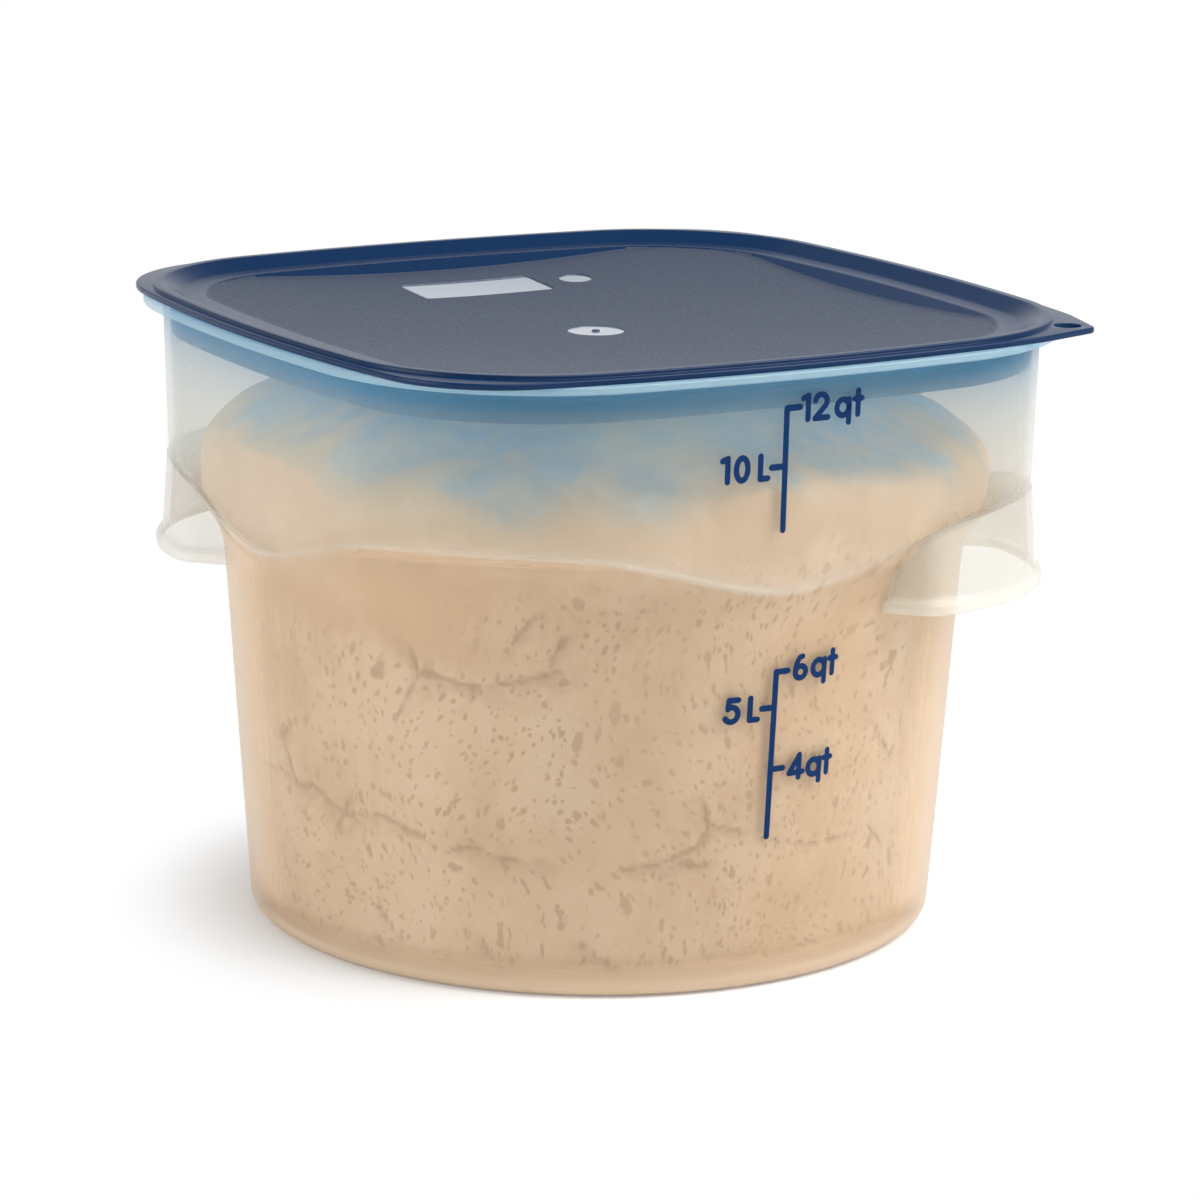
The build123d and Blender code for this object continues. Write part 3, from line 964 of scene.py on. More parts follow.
def dough_form():
    """Rings of the smooth dough: along the wall, closer together where the folds are, then over a dome whose
    outline is a squarish ellipse."""
    near = np.linspace(*DOUGH_NEAR_SIDE, DOUGH_COLUMNS[0], endpoint=False)
    far = np.linspace(DOUGH_NEAR_SIDE[1], DOUGH_NEAR_SIDE[0] + 360, DOUGH_COLUMNS[1], endpoint=False)
    angles = np.radians(np.concatenate([near, far]))
    edge = edge_arc(DOUGH_FLOOR, DOUGH_INSET, BASE_EDGE_RADIUS - DOUGH_INSET, 5)
    low = [(share * edge[0][0], DOUGH_FLOOR) for share in DOUGH_FLOOR_SHARES] + edge[:-1]
    turns = np.linspace(0, math.pi / 2, DOUGH_DOME_STEPS)[1:-1]
    rise = (DOUGH_TOP - DOUGH_SWELL_HEIGHT) * np.sin(turns) ** DOUGH_DOME_SHARE
    bands = [np.linspace(low, high, count, endpoint=False) for low, high, count in DOUGH_BANDS]
    heights = np.concatenate([*bands, DOUGH_SWELL_HEIGHT + rise])[:, None]
    shrink = np.concatenate([np.ones(len(heights) - len(turns)), np.cos(turns) ** DOUGH_DOME_SHARE])[:, None]
    circle = np.stack([np.cos(angles), np.sin(angles), 0 * angles], axis=-1)
    reach = DOUGH_REACH + wave_sum(DOUGH_REACH * circle, DOUGH_LOBE_WAVES)
    radii = np.minimum(room_radius(angles, heights), shrink * reach)
    wall = np.stack([radii * np.cos(angles), radii * np.sin(angles), heights + 0 * radii], axis=-1)
    return np.concatenate([polar_rings(angles, low), wall])


# %% [markdown]
# Where two folds of the dough meet, a ragged crease runs along the wall. Each crease is a path over the
# wall, given as angle and height, with a width. Its upper lip is sharp and its lower side fades out,
# because the upper fold hangs over the lower one. Near the top the dough has come away from the wall in
# some places and still sticks to it in others. Three numbers are kept for each point, because the material
# has to know them too: crease says how deep it lies in a crease, and there the material paints shade, skin
# where the dough is smooth and has no bubbles, and shade where the lid's blue shade is painted on.

# %% Sizes of the folds
CREASE_DEPTH = 1.1
CREASE_SECTION = ((0.8, 0.45, 0.85), (0.3, 0.8, 3.2))    # core, valley: depth, reach above and below the line
CREASES = [               # width, then the path's angles in degrees and heights
    (1.5, [(184, 84), (181, 78), (182, 73), (185, 61), (190, 63), (197, 56), (205, 59), (213, 53.5)]),
    (0.8, [(172, 62), (180, 64), (185, 61)]),
    (1.3, [(195.5, 52), (197, 56), (198, 61)]),
    (1.2, [(217, 50), (221.5, 52.7), (225, 49.8), (229, 49.1), (233.5, 48.9)]),
    (1.8, [(211.5, 122), (213, 114), (221, 110.5), (228, 112.5), (235, 117.5)]),
    (1.0, [(213, 113), (210.5, 103), (208.5, 95)]),
    (0.8, [(223, 111), (221.5, 106)]),
    (1.6, [(228, 126), (229, 130), (231.5, 136)]),
    (1.2, [(234, 122), (236, 129)]),
    (1.5, [(258, 69), (258.8, 60), (257, 54), (251, 48.5), (245, 46.4)]),
    (1.1, [(258, 64), (260.5, 60), (264, 58.5)]),
    (1.1, [(252, 50), (256, 47), (259, 47.5)]),
    (0.5, [(268, 55), (273, 52), (279, 49), (286, 50), (291, 50.5), (295, 43)]),
    (0.9, [(204, 25), (206, 19), (208, 16)]),
    (0.9, [(202.8, 15.9), (204.7, 7.4)]),
    (1.2, [(222.5, 20.5), (224, 13.5), (226.5, 7)]),
    (1.0, [(238.6, 19.4), (243.5, 12.1), (246, 4.6)]),
    (1.0, [(289.8, 90.5), (292.2, 83.2), (295, 76.8)]),
    (1.4, [(20, 61), (32, 55), (41, 62), (55, 57), (63, 64)]),
    (1.0, [(41, 62), (44, 75), (50, 82)]),
    (1.8, [(80, 108), (90, 99), (103, 103), (112, 97)]),
    (1.2, [(118, 48), (130, 53), (141, 47), (150, 52)]),
    (1.7, [(318, 104), (327, 96), (338, 101), (344, 110)]),
    (1.0, [(335, 40), (345, 45), (353, 38)]),
]
LOOSE_SPOTS = [           # angle, height, half sizes in degrees and millimetres, distance from the wall
    (204, 189, 6, 9, 5.0), (224, 208, 13, 14, 5.0), (233, 190, 4, 13, 4.0), (292, 193, 9, 10, 5.0),
    (275, 184, 9, 7, 2.0), (250, 172, 7, 7, 2.5), (172, 196, 6, 9, 4.0), (181, 178, 6, 18, -7.0),
    (194, 186, 5, 12, -5.0), (213, 196, 7, 5, -4.0), (244, 197, 5, 13, -5.0), (255, 199, 7, 8, -4.0),
    (266, 176, 7, 12, -3.0), (280, 166, 10, 8, -4.0), (205, 163, 20, 12, -6.0), (178, 160, 8, 12, -6.0),
    (30, 190, 20, 12, 4.0), (70, 185, 16, 14, -5.0), (110, 195, 18, 10, 4.0), (145, 178, 10, 14, -5.0),
    (335, 186, 14, 12, 4.0), (8, 178, 12, 14, -4.0),
]
SKIN_SPOTS = [(190, 141, 20, 13, 1.6), (205, 132, 11, 9, 1.2), (217, 121, 8, 6, 0.9), (225, 150, 30, 7, 0.8)]
RAGGED_WAVES = ((0.5, 8.0, 5), (0.35, 4.0, 6))
RAGGED_LIMITS = (0.3, 2.4)
LUMP_WAVES = ((2.0, 38, 11), (1.1, 16, 13))
PATCH_WAVES = ((0.16, 45, 11), (0.1, 18, 12))
SKIN_WAVES = ((0.8, 30, 31),)
LOOSE_HEIGHTS = (160, 185)
LOOSE_DEPTH = 2.5
LOOSE_MOST = 8
LEAST_RADIUS = 60
SKIN_HEIGHT = 150
SKIN_BLEND = 8
SHADE_HEIGHTS = (158, 170)
SHADE_FOOT = 167
SHADE_RISE = 30
SHADE_RADII = (82, 110)
SHADE_MOST = 0.9
SHADE_OF_LOOSE = 0.11
SAG_HEIGHTS = (175, 195)
SAG_DEPTH = 3
SAG_WAVE = (70, 21)       # length and seed


# %% Folds
def spot_field(turn, height, spots):
    """The sum of round bumps, each with an angle, a height, its half sizes in both, and a strength."""
    field = np.zeros(turn.shape)
    for middle, level, width, rise, size in spots:
        away = (turn - middle + 180) % 360 - 180
        field += size * np.exp(-((away / width) ** 2) - ((height - level) / rise) ** 2)
    return field


def crease_field(points, turn):
    """0 away from the creases and 0.8 along their lines, by the distance over the wall to each stretch of a
    line. The distance is counted in widths of the crease, which waves make ragged."""
    field = np.zeros(turn.shape)
    ragged = np.clip(1 + wave_sum(points, RAGGED_WAVES), *RAGGED_LIMITS)
    for width, path in CREASES:
        for start, end in zip(path, path[1:]):
            scale = math.radians(1) * body_radius(start[1])
            ahead = np.array([(end[0] - start[0]) * scale, end[1] - start[1]])
            away = np.stack([(turn - start[0]) * scale, points[..., 2] - start[1]], axis=-1)
            along = np.clip((away @ ahead) / (ahead @ ahead), 0, 1)
            offset = away - along[..., None] * ahead
            side = (ahead[0] * offset[..., 1] - ahead[1] * offset[..., 0]) * math.copysign(1, ahead[0])
            distance = np.linalg.norm(offset, axis=-1) / (width * ragged)
            for depth, above, below in CREASE_SECTION:
                reach = np.where(side > 0, above, below)
                field = np.maximum(field, depth * np.exp(-((distance / reach) ** 2)))
    return field


# This share of the lid's blue shade is painted into the dough's colour.
def dough_shade(rings, turn, height):
    """How much of the lid's blue shade lies on the dough: more with the height, patchy where it is loose."""
    patch = wave_sum(rings, PATCH_WAVES) + SHADE_OF_LOOSE * spot_field(turn, height, LOOSE_SPOTS)
    share = np.clip((height - SHADE_FOOT) / SHADE_RISE + patch, 0, 1)
    side = np.minimum(ramp(np.hypot(rings[..., 0], rings[..., 1]), *SHADE_RADII), SHADE_MOST)
    return eased(share) * side * ramp(height, *SHADE_HEIGHTS)


# %% Dough
def make_dough():
    """The dough with its folds: pushed in along the creases and where it is loose, and lumpy on top."""
    rings = dough_form()
    turn = np.degrees(np.arctan2(rings[..., 1], rings[..., 0])) % 360
    height = rings[..., 2].copy()
    crease = crease_field(rings, turn)
    lumps = wave_sum(rings, LUMP_WAVES) + spot_field(turn, height, LOOSE_SPOTS)
    loose = np.clip(ramp(height, *LOOSE_HEIGHTS) * (LOOSE_DEPTH + lumps), 0, LOOSE_MOST)
    outward = np.hypot(rings[..., 0], rings[..., 1])
    scale = 1 - (CREASE_DEPTH * crease + loose) / np.maximum(outward, LEAST_RADIUS)
    skin = np.clip((height - SKIN_HEIGHT) / SKIN_BLEND + wave_sum(rings, SKIN_WAVES), 0, 1)
    skin = np.clip(skin + spot_field(turn, height, SKIN_SPOTS), 0, 1)
    fields = {"crease": crease, "skin": skin, "shade": dough_shade(rings, turn, height)}
    rings[..., :2] *= scale[..., None]
    sag = np.clip(SAG_DEPTH * (1 + waves(rings, *SAG_WAVE)), 0, LOOSE_MOST)
    rings[..., 2] -= ramp(height, *SAG_HEIGHTS) * sag
    dough = ring_piece("dough", rings, (0, 0, DOUGH_FLOOR), (0, 0, DOUGH_TOP - DOUGH_TOP_DIP))
    for name, field in fields.items():
        keep_field(dough, name, np.concatenate([field.ravel(), field[0, :1], field[-1, :1]]))
    return dough


dough = make_dough()
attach(dough, "tub")

# %% [markdown]
# ## Colours and nodes
# A colour picked from a swatch is an sRGB value, and a shader adds and multiplies light, so it wants linear
# values. One function converts them. Another adds a node: it sets the node's own properties, and fills each
# input with a value or with a link from another node. The others do what several materials need: they lay
# colours over each other, spread a noise into patches, and wrap the nodes of a finish in a material. An
# Attribute node reads numbers that keep_field() kept in the mesh.

# %% Colour and node helpers
def linear(hex_colour):
    """An sRGB hex colour as linear red, green, blue and alpha."""
    channels = np.array([int(hex_colour[start:start + 2], 16) for start in (0, 2, 4)]) / 255
    return (*np.where(channels <= 0.04045, channels / 12.92, ((channels + 0.055) / 1.055) ** 2.4), 1.0)


def add_node(tree, kind, inputs=(), **properties):
    """Adds a node, sets its properties, and fills its inputs: in their order from a tuple, or by name from a
    dictionary. An input gets a value, a link from a socket, or a link from a node's first output in use."""
    node = tree.nodes.new("ShaderNode" + kind)
    for name, value in properties.items():
        setattr(node, name, value)
    for name, value in inputs.items() if isinstance(inputs, dict) else enumerate(inputs):
        if isinstance(value, bpy.types.Node):
            value = next(socket for socket in value.outputs if socket.enabled)
        if isinstance(value, bpy.types.NodeSocket):
            tree.links.new(value, node.inputs[name])
        else:
            node.inputs[name].default_value = value
    return node


def layered(tree, colour, layers):
    """Lays colours over a first one, each as far as its share says."""
    colour = linear(colour)
    for share, name in layers:
        colour = add_node(tree, "Mix", {"Factor": share, "A": colour, "B": linear(name)}, data_type="RGBA")
    return colour


def patches(tree, place, size, detail, low, high, least=0.0, most=1.0):
    """Random patches of about a size in millimetres: noise from low to high, spread from least to most."""
    noise = add_node(tree, "TexNoise", {"Vector": place, "Scale": 1 / (size * MM), "Detail": detail})
    return add_node(tree, "MapRange", (noise, low, high, least, most))


def give_material(piece, name, finish, *settings):
    material = bpy.data.materials.new(name)
    material.use_nodes = True
    tree = material.node_tree
    tree.nodes.clear()
    add_node(tree, "OutputMaterial", {"Surface": finish(tree, *settings)})
    piece.data.materials.append(material)


# %% [markdown]
# ## Tub plastic
# Natural polypropylene, injection moulded in a satin steel mould: half clear and a little milky, with a
# soft gloss. A thin wall shows what lies right behind it and only dims it. Where the eye meets the wall at
# a flat angle, or the wall is thick, the light passes more plastic and it looks whiter. The look can be
# made with refraction, which is slow and noisy in a thin wall, or by letting a share of each ray straight
# through, which is alpha. Alpha is enough here. The places where the plastic looks different are numbers
# kept in the mesh: upper above the shoulder, filled where dough lies on the wall, whiter at the thick rim
# and in a band along the shoulder line, which is a painted highlight, a painted blue glow below the rim and
# painted blue on the rim, which stand in for the lid's blue light in the wall, and a band of the dough's
# colour along the base's edge, painted over the shaded bottom edge of the dough. Over dough there is no air
# behind the wall, so it turns the dough's own colour, and not white, where it is seen at a flat angle.

# %% Tub plastic values
TUB_THIN_COLOUR = "ACA48E"
TUB_MILK_AND_HIGHLIGHT_COLOUR = "F4F0E4"
TUB_UPPER_COLOUR = "C2BBA8"
# The glow and rim colours are painted light: the lid's blue light in the wall below the rim and on the rim.
TUB_GLOW_COLOUR = "1A7CA3"
TUB_RIM_PAINTED_LIGHT_COLOUR = "A6C5D2"
TUB_FILLED_COLOUR = "D6BC9D"
TUB_ALPHA = 0.145
TUB_ALPHA_UPPER = 0.215
TUB_ALPHA_MILK_AND_HIGHLIGHT = 0.5
TUB_ALPHA_GLOW = 0.22
TUB_ALPHA_CLOUD = 0.04
TUB_ALPHA_FILLED = 0.8
TUB_ROUGHNESS = 0.3
PLASTIC_IOR = 1.49
TUB_CLOUD_MM = 30
FLAT_BLEND = 0.3
FLAT_POWER = 1.6
FILLED_CLEARS = 0.75      # share of the milky look that goes where dough lies on the wall
FILLED_EDGE = (0.36, 0.7)
FILLED_EDGE_COLOUR_GAIN = 5.0
GLOW_COLOUR_GAIN = 1.2
GLOW_REACH = 13
# The whiter band along the shoulder line is a painted highlight.
SHOULDER_BAND = 2.2
SHOULDER_BAND_RISE = 0.5
SHOULDER_BAND_MILK = 0.52
SHOULDER_BAND_WAVES = ((0.2, 110, 41),)
FLANGE_HEIGHTS = (RIM_UNDER - 0.6, RIM_UNDER - 0.1)
UPPER_BLEND = 5
FILLED_BLEND = 6
# Below these heights a band of the dough's colour is painted over the shaded bottom edge of the dough.
FOOT_HEIGHTS = (7.4, 5.8)
HANDLE_MILK = 0.43
HANDLE_LIP_MILK = 0.3
HANDLE_LIP_BLEND = 4


# %% Tub plastic fields
def piece_points(piece):
    """The piece's points in millimetres."""
    points = np.empty(len(piece.data.vertices) * 3)
    piece.data.vertices.foreach_get("co", points)
    return points.reshape(-1, 3) / MM


def tub_fields(points):
    """The numbers that say where the plastic looks different, each from 0 to 1 at every point."""
    height = points[:, 2]
    above_line = height - shoulder_line(np.arctan2(points[:, 1], points[:, 0]))
    # A whiter band along the shoulder line, which is a painted highlight, and the really thick rim.
    band = np.exp(-(((above_line - SHOULDER_BAND_RISE) / SHOULDER_BAND) ** 2))
    band *= np.clip(SHOULDER_BAND_MILK + wave_sum(points, SHOULDER_BAND_WAVES), 0, 1)
    flange = ramp(height, *FLANGE_HEIGHTS)
    return {
        "milk_and_highlight": np.maximum(band, flange),
        "upper": ramp(above_line, 0, UPPER_BLEND),
        # Painted light from the blue lid: a glow that fades down the wall, and blue on the rim.
        "glow": (1 - flange) * np.exp(-np.maximum(RIM_UNDER - height, 0) / GLOW_REACH),
        "painted_lid_blue": flange,
        "filled": ramp(above_line, 0, -FILLED_BLEND),
        # A band of dough colour painted over the shaded bottom edge of the dough.
        "foot": ramp(height, *FOOT_HEIGHTS),
    }


# %% Tub plastic
def tub_plastic(tree):
    """Half-clear plastic. steep is how flat the eye meets the wall, milk how white the plastic looks, edge
    where it hides the dough behind it or covers the dough's shaded bottom edge with painted dough colour, and
    warm where it has the dough's colour, a little further in."""
    milk_and_highlight, upper, glow, painted_lid_blue, filled, foot = [
        add_node(tree, "Attribute", attribute_name=name).outputs["Fac"]
        for name in ("milk_and_highlight", "upper", "glow", "painted_lid_blue", "filled", "foot")]
    place = add_node(tree, "TexCoord").outputs["Object"]
    cloud = add_node(tree, "TexNoise", {"Vector": place, "Scale": 1 / (TUB_CLOUD_MM * MM), "Detail": 2.0})
    facing = add_node(tree, "LayerWeight", {"Blend": FLAT_BLEND}).outputs["Facing"]
    steep = add_node(tree, "Math", (facing, FLAT_POWER), operation="POWER")
    empty = add_node(tree, "Math", (filled, -FILLED_CLEARS, 1.0), operation="MULTIPLY_ADD")
    steep = add_node(tree, "Math", (steep, empty), operation="MULTIPLY")
    milk = add_node(tree, "Math", (steep, milk_and_highlight), operation="MAXIMUM")
    edge = add_node(tree, "MapRange", (facing, *FILLED_EDGE), interpolation_type="SMOOTHSTEP")
    edge = add_node(tree, "Math", (edge, filled), operation="MULTIPLY")
    # The foot adds the painted band of dough colour over the dough's shaded bottom edge.
    edge = add_node(tree, "Math", (edge, foot), operation="MAXIMUM")
    warm = add_node(tree, "Math", (edge, FILLED_EDGE_COLOUR_GAIN), operation="MULTIPLY", use_clamp=True)
    # Painted light: the lid's blue glow below the rim, and its blue on the rim.
    painted_glow = add_node(tree, "Math", (glow, GLOW_COLOUR_GAIN), operation="MULTIPLY", use_clamp=True)
    colour = layered(tree, TUB_THIN_COLOUR, (
        (upper, TUB_UPPER_COLOUR), (milk, TUB_MILK_AND_HIGHLIGHT_COLOUR), (painted_glow, TUB_GLOW_COLOUR),
        (painted_lid_blue, TUB_RIM_PAINTED_LIGHT_COLOUR), (warm, TUB_FILLED_COLOUR)))
    alpha = add_node(tree, "MapRange", (upper, 0.0, 1.0, TUB_ALPHA, TUB_ALPHA_UPPER))
    alpha = add_node(tree, "Mix", {"Factor": milk, "A": alpha, "B": TUB_ALPHA_MILK_AND_HIGHLIGHT})
    alpha = add_node(tree, "Math", (glow, TUB_ALPHA_GLOW, alpha), operation="MULTIPLY_ADD")
    alpha = add_node(tree, "Math", (cloud, TUB_ALPHA_CLOUD, alpha), operation="MULTIPLY_ADD")
    alpha = add_node(tree, "Mix", {"Factor": edge, "A": alpha, "B": TUB_ALPHA_FILLED})
    return add_node(tree, "BsdfPrincipled", {
        "Base Color": colour, "Roughness": TUB_ROUGHNESS, "IOR": PLASTIC_IOR, "Alpha": alpha})


for name, field in tub_fields(piece_points(tub_moulding)).items():
    keep_field(tub_moulding, name, field)
give_material(tub_moulding, "moulded_natural_polypropylene", tub_plastic)
for piece in (handle_right, handle_left):
    lip = ramp(piece_points(piece)[:, 2], HANDLE_BLEND_TOP, HANDLE_BLEND_TOP - HANDLE_LIP_BLEND)
    keep_field(piece, "milk_and_highlight", HANDLE_MILK + HANDLE_LIP_MILK * lip)
    piece.data.materials.append(tub_moulding.data.materials[0])
print("tub plastic on", [piece.name for piece in (tub_moulding, handle_right, handle_left)])

# %% [markdown]
# ## Lid plastic
# Dark blue polypropylene. The panel's mould was spark eroded, which leaves a fine matte grain that turns
# the blue to a plum grey at a flat angle; the panel's greyer colour is partly that sheen, painted in. The
# bead, the slope and the flange are smoother and catch clear highlights. The gate's disc and the label pad
# were polished, and their lighter blue is a painted reflection. The thin rib has a brighter blue, painted
# light that stands in for the light coming through it from behind. The plastic lets some light through
# everywhere, and that light comes out blue: it colours the rim and the top of the dough. Lamps look for a
# way through with shadow rays, so for those rays the surface is a blue filter, and for all others it is
# plain plastic. The real grain is about 0.1 mm, too fine to show, and is drawn coarser.

# %% Lid plastic values
LID_FINISHES = [          # name, colour, roughness, strength of the grain, specular level and coat
    ("satin_blue_polypropylene", "02274C", 0.25, 0.1, 0.22, 0.0),
    # The panel's greyer colour is partly a painted sheen.
    ("spark_eroded_blue_polypropylene_painted_sheen", "2C3A50", 0.45, 0.8, 0.72, 0.0),
    # The lighter blue of the polished faces is a painted reflection.
    ("polished_blue_polypropylene_painted_reflection", "74859A", 0.06, 0.0, 0.5, 1.0),
    # The rib's brighter blue is painted backlight.
    ("thin_blue_polypropylene_rib_painted_backlight", "066E98", 0.3, 0.0, 0.3, 0.0),
]
LID_FILTER = (0.52, 0.76, 0.92, 1.0)
LID_GRAIN_MM = 1.0
LID_GRAIN_DEPTH_MM = 0.3
LID_GRAIN_SPAN = (0.35, 0.65)
LID_SMOOTHEST = -0.06
LID_ROUGHEST = 0.1
PANEL_MARGIN = 1
POLISHED_SHARE = 0.6      # of the marks' depth, below which a face is polished
RIB_MARGINS = (0.5, 0.1)  # inwards and downwards


# %% Lid plastic
def lid_plastic(tree, colour, roughness, grain, specular, coat):
    """Blue plastic whose roughness and height vary with the grain, and which filters the light of lamps."""
    place = add_node(tree, "TexCoord").outputs["Object"]
    noise = add_node(tree, "TexNoise", {"Vector": place, "Scale": 1 / (LID_GRAIN_MM * MM), "Detail": 3.0})
    smoothest, roughest = roughness + LID_SMOOTHEST * grain, roughness + LID_ROUGHEST * grain
    speck = add_node(tree, "MapRange", (noise, *LID_GRAIN_SPAN, smoothest, roughest))
    bump = add_node(tree, "Bump", {"Height": noise, "Strength": grain, "Distance": LID_GRAIN_DEPTH_MM * MM})
    plastic = add_node(tree, "BsdfPrincipled", {
        "Base Color": linear(colour), "Roughness": speck, "IOR": PLASTIC_IOR, "Specular IOR Level": specular,
        "Coat Weight": coat, "Normal": bump})
    clear = add_node(tree, "BsdfTransparent", {"Color": LID_FILTER})
    shadow_ray = add_node(tree, "LightPath").outputs["Is Shadow Ray"]
    return add_node(tree, "MixShader", (shadow_ray, plastic, clear))


def paint_lid(piece):
    """Gives the panel's faces the grained finish with its painted sheen, the marks' the polished one with its
    painted reflection, and the rib's the one with painted backlight.
    """
    mesh = piece.data
    centres = np.empty(len(mesh.polygons) * 3)
    mesh.polygons.foreach_get("center", centres)
    x, y, height = centres.reshape(-1, 3).T / MM
    turn = np.arctan2(y, x)
    distance = np.hypot(x, y)
    depth = bowl_height(distance) - height
    inside = distance < bead_radius(turn, -TRAY_RUN - LEDGE_WIDTH) - PANEL_MARGIN
    panel = inside & (np.abs(depth) < 2 * MARK_DEPTH)
    polished = panel & (depth > POLISHED_SHARE * MARK_DEPTH)
    outside = distance > mouth_radius(turn, RIM_HEIGHT, -PLUG_GAP - PLUG_WALL - RIB_MARGINS[0])
    rib = outside & (height < RIM_HEIGHT - RIB_MARGINS[1])
    index = np.select([polished, panel, rib], [2, 1, 3], 0).astype(np.int32)
    mesh.polygons.foreach_set("material_index", index)
    print("panel faces:", int(panel.sum()), "polished faces:", int(polished.sum()))


for name, *settings in LID_FINISHES:
    give_material(lid_moulding, name, lid_plastic, *settings)
paint_lid(lid_moulding)

# %% [markdown]
# ## Ink
# Screen printing leaves a thin even coat of navy ink with a faint mottle and a soft sheen.

# %% Ink
INK_COLOUR = "012B59"
INK_MOTTLE = (1.2, 2.0, 0.0, 1.0, 0.3, 0.5)      # for patches(): size, detail, low, high, least, most
INK_SPECULAR = 0.12


def printed_ink(tree):
    """Navy ink whose roughness varies a little."""
    place = add_node(tree, "TexCoord").outputs["Object"]
    roughness = patches(tree, place, *INK_MOTTLE)
    return add_node(tree, "BsdfPrincipled", {
        "Base Color": linear(INK_COLOUR), "Roughness": roughness, "Specular IOR Level": INK_SPECULAR})


give_material(graduations, "screen_printed_navy_ink", printed_ink)

# %% [markdown]
# ## Dough
# Wet wheat dough, pressed flat by the wall: cream to tan, and pitted with thousands of small bubbles where
# it doesn't touch the plastic. The bubbles were drawn out as the dough was folded, so they lean and stretch
# with the flow. Voronoi cells, read at places that a slow noise has bent, make such bubbles: each cell gets
# a bubble of its own size, or hardly any. Three sizes of cell are laid over each other. On the smooth skin
# of the swollen top there are none. The shade in the bubbles and in the creases is painted as a darker
# colour. Where the dough has come away from the wall, the blue shade of the lid is painted on.

# %% Dough material values
DOUGH_COLOUR = "F4D7B7"
DOUGH_TAN_COLOUR = "E3BD96"
# Painted shade in the bubbles.
DOUGH_BUBBLE_SHADE_COLOUR = "D0AC88"
# Painted shade in the creases.
DOUGH_CREASE_SHADE_COLOUR = "BC9572"
# The lid's blue shade, painted on.
DOUGH_SHADE_COLOUR = "77AEC0"
DOUGH_FLOW_MM = ((75, 50), (3, 3))        # size of a noise, and how far it moves things
DOUGH_CROWD = (40, 3.0, 0.35, 0.55, 0.6)  # this and the next three for patches()
DOUGH_MOTTLE = (40, 4.0, 0.3, 0.7)
DOUGH_STRANDS = (4, 3.0, 0.4, 0.7, 0.0, 0.2)
DOUGH_WISPS = (16, 4.0, 0.3, 0.7, 0.5, 1.3)
DOUGH_SKIN_TAN = 0.4
DOUGH_GRAIN_MM = 1.5
DOUGH_PIT_MM = 0.7
DOUGH_PIT_STRENGTH = 0.12
DOUGH_ROUGHNESS = 0.5
BUBBLE_STRETCH = (1.0, 1.0, 0.68)
STRAND_STRETCH = (1.0, 1.0, 0.2)
BUBBLES = [               # size of the cells in millimetres, and in cells: largest radius, rarity, softness
    (2.3, 0.5, 1.2, 0.14),
    (5.0, 0.42, 2.4, 0.09),
    (15.0, 0.22, 4.0, 0.04),
]
BUBBLE_EDGE = -0.2        # of the softness, outside a bubble's radius, where the mask starts


# %% Bubbles
def bubble_layer(tree, place, spacing, largest, rarity, soft):
    """Mask of the bubbles of one size: 1 inside a cell's bubble, whose radius follows the cell's number."""
    cells = add_node(tree, "TexVoronoi", {"Vector": place, "Scale": 1 / (spacing * MM)})
    number = add_node(tree, "SeparateColor", {"Color": cells.outputs["Color"]}).outputs["Red"]
    share = add_node(tree, "Math", (number, rarity), operation="POWER")
    radius = add_node(tree, "Math", (share, largest), operation="MULTIPLY")
    inside = add_node(tree, "Math", (radius, cells.outputs["Distance"]), operation="SUBTRACT")
    return add_node(tree, "MapRange", (inside, BUBBLE_EDGE * soft, soft))


def bent_place(tree, place):
    """Object coordinates moved by a slow strong noise and a fast weak one, then squeezed, which draws the
    bubbles out upwards."""
    moved = place
    for size, shift in DOUGH_FLOW_MM:
        noise = add_node(tree, "TexNoise", {"Vector": place, "Scale": 1 / (size * MM), "Detail": 1.0})
        moved = add_node(
            tree, "VectorMath", (noise.outputs["Color"], (shift * MM,) * 3, moved), operation="MULTIPLY_ADD")
    return add_node(tree, "VectorMath", (moved, BUBBLE_STRETCH), operation="MULTIPLY")


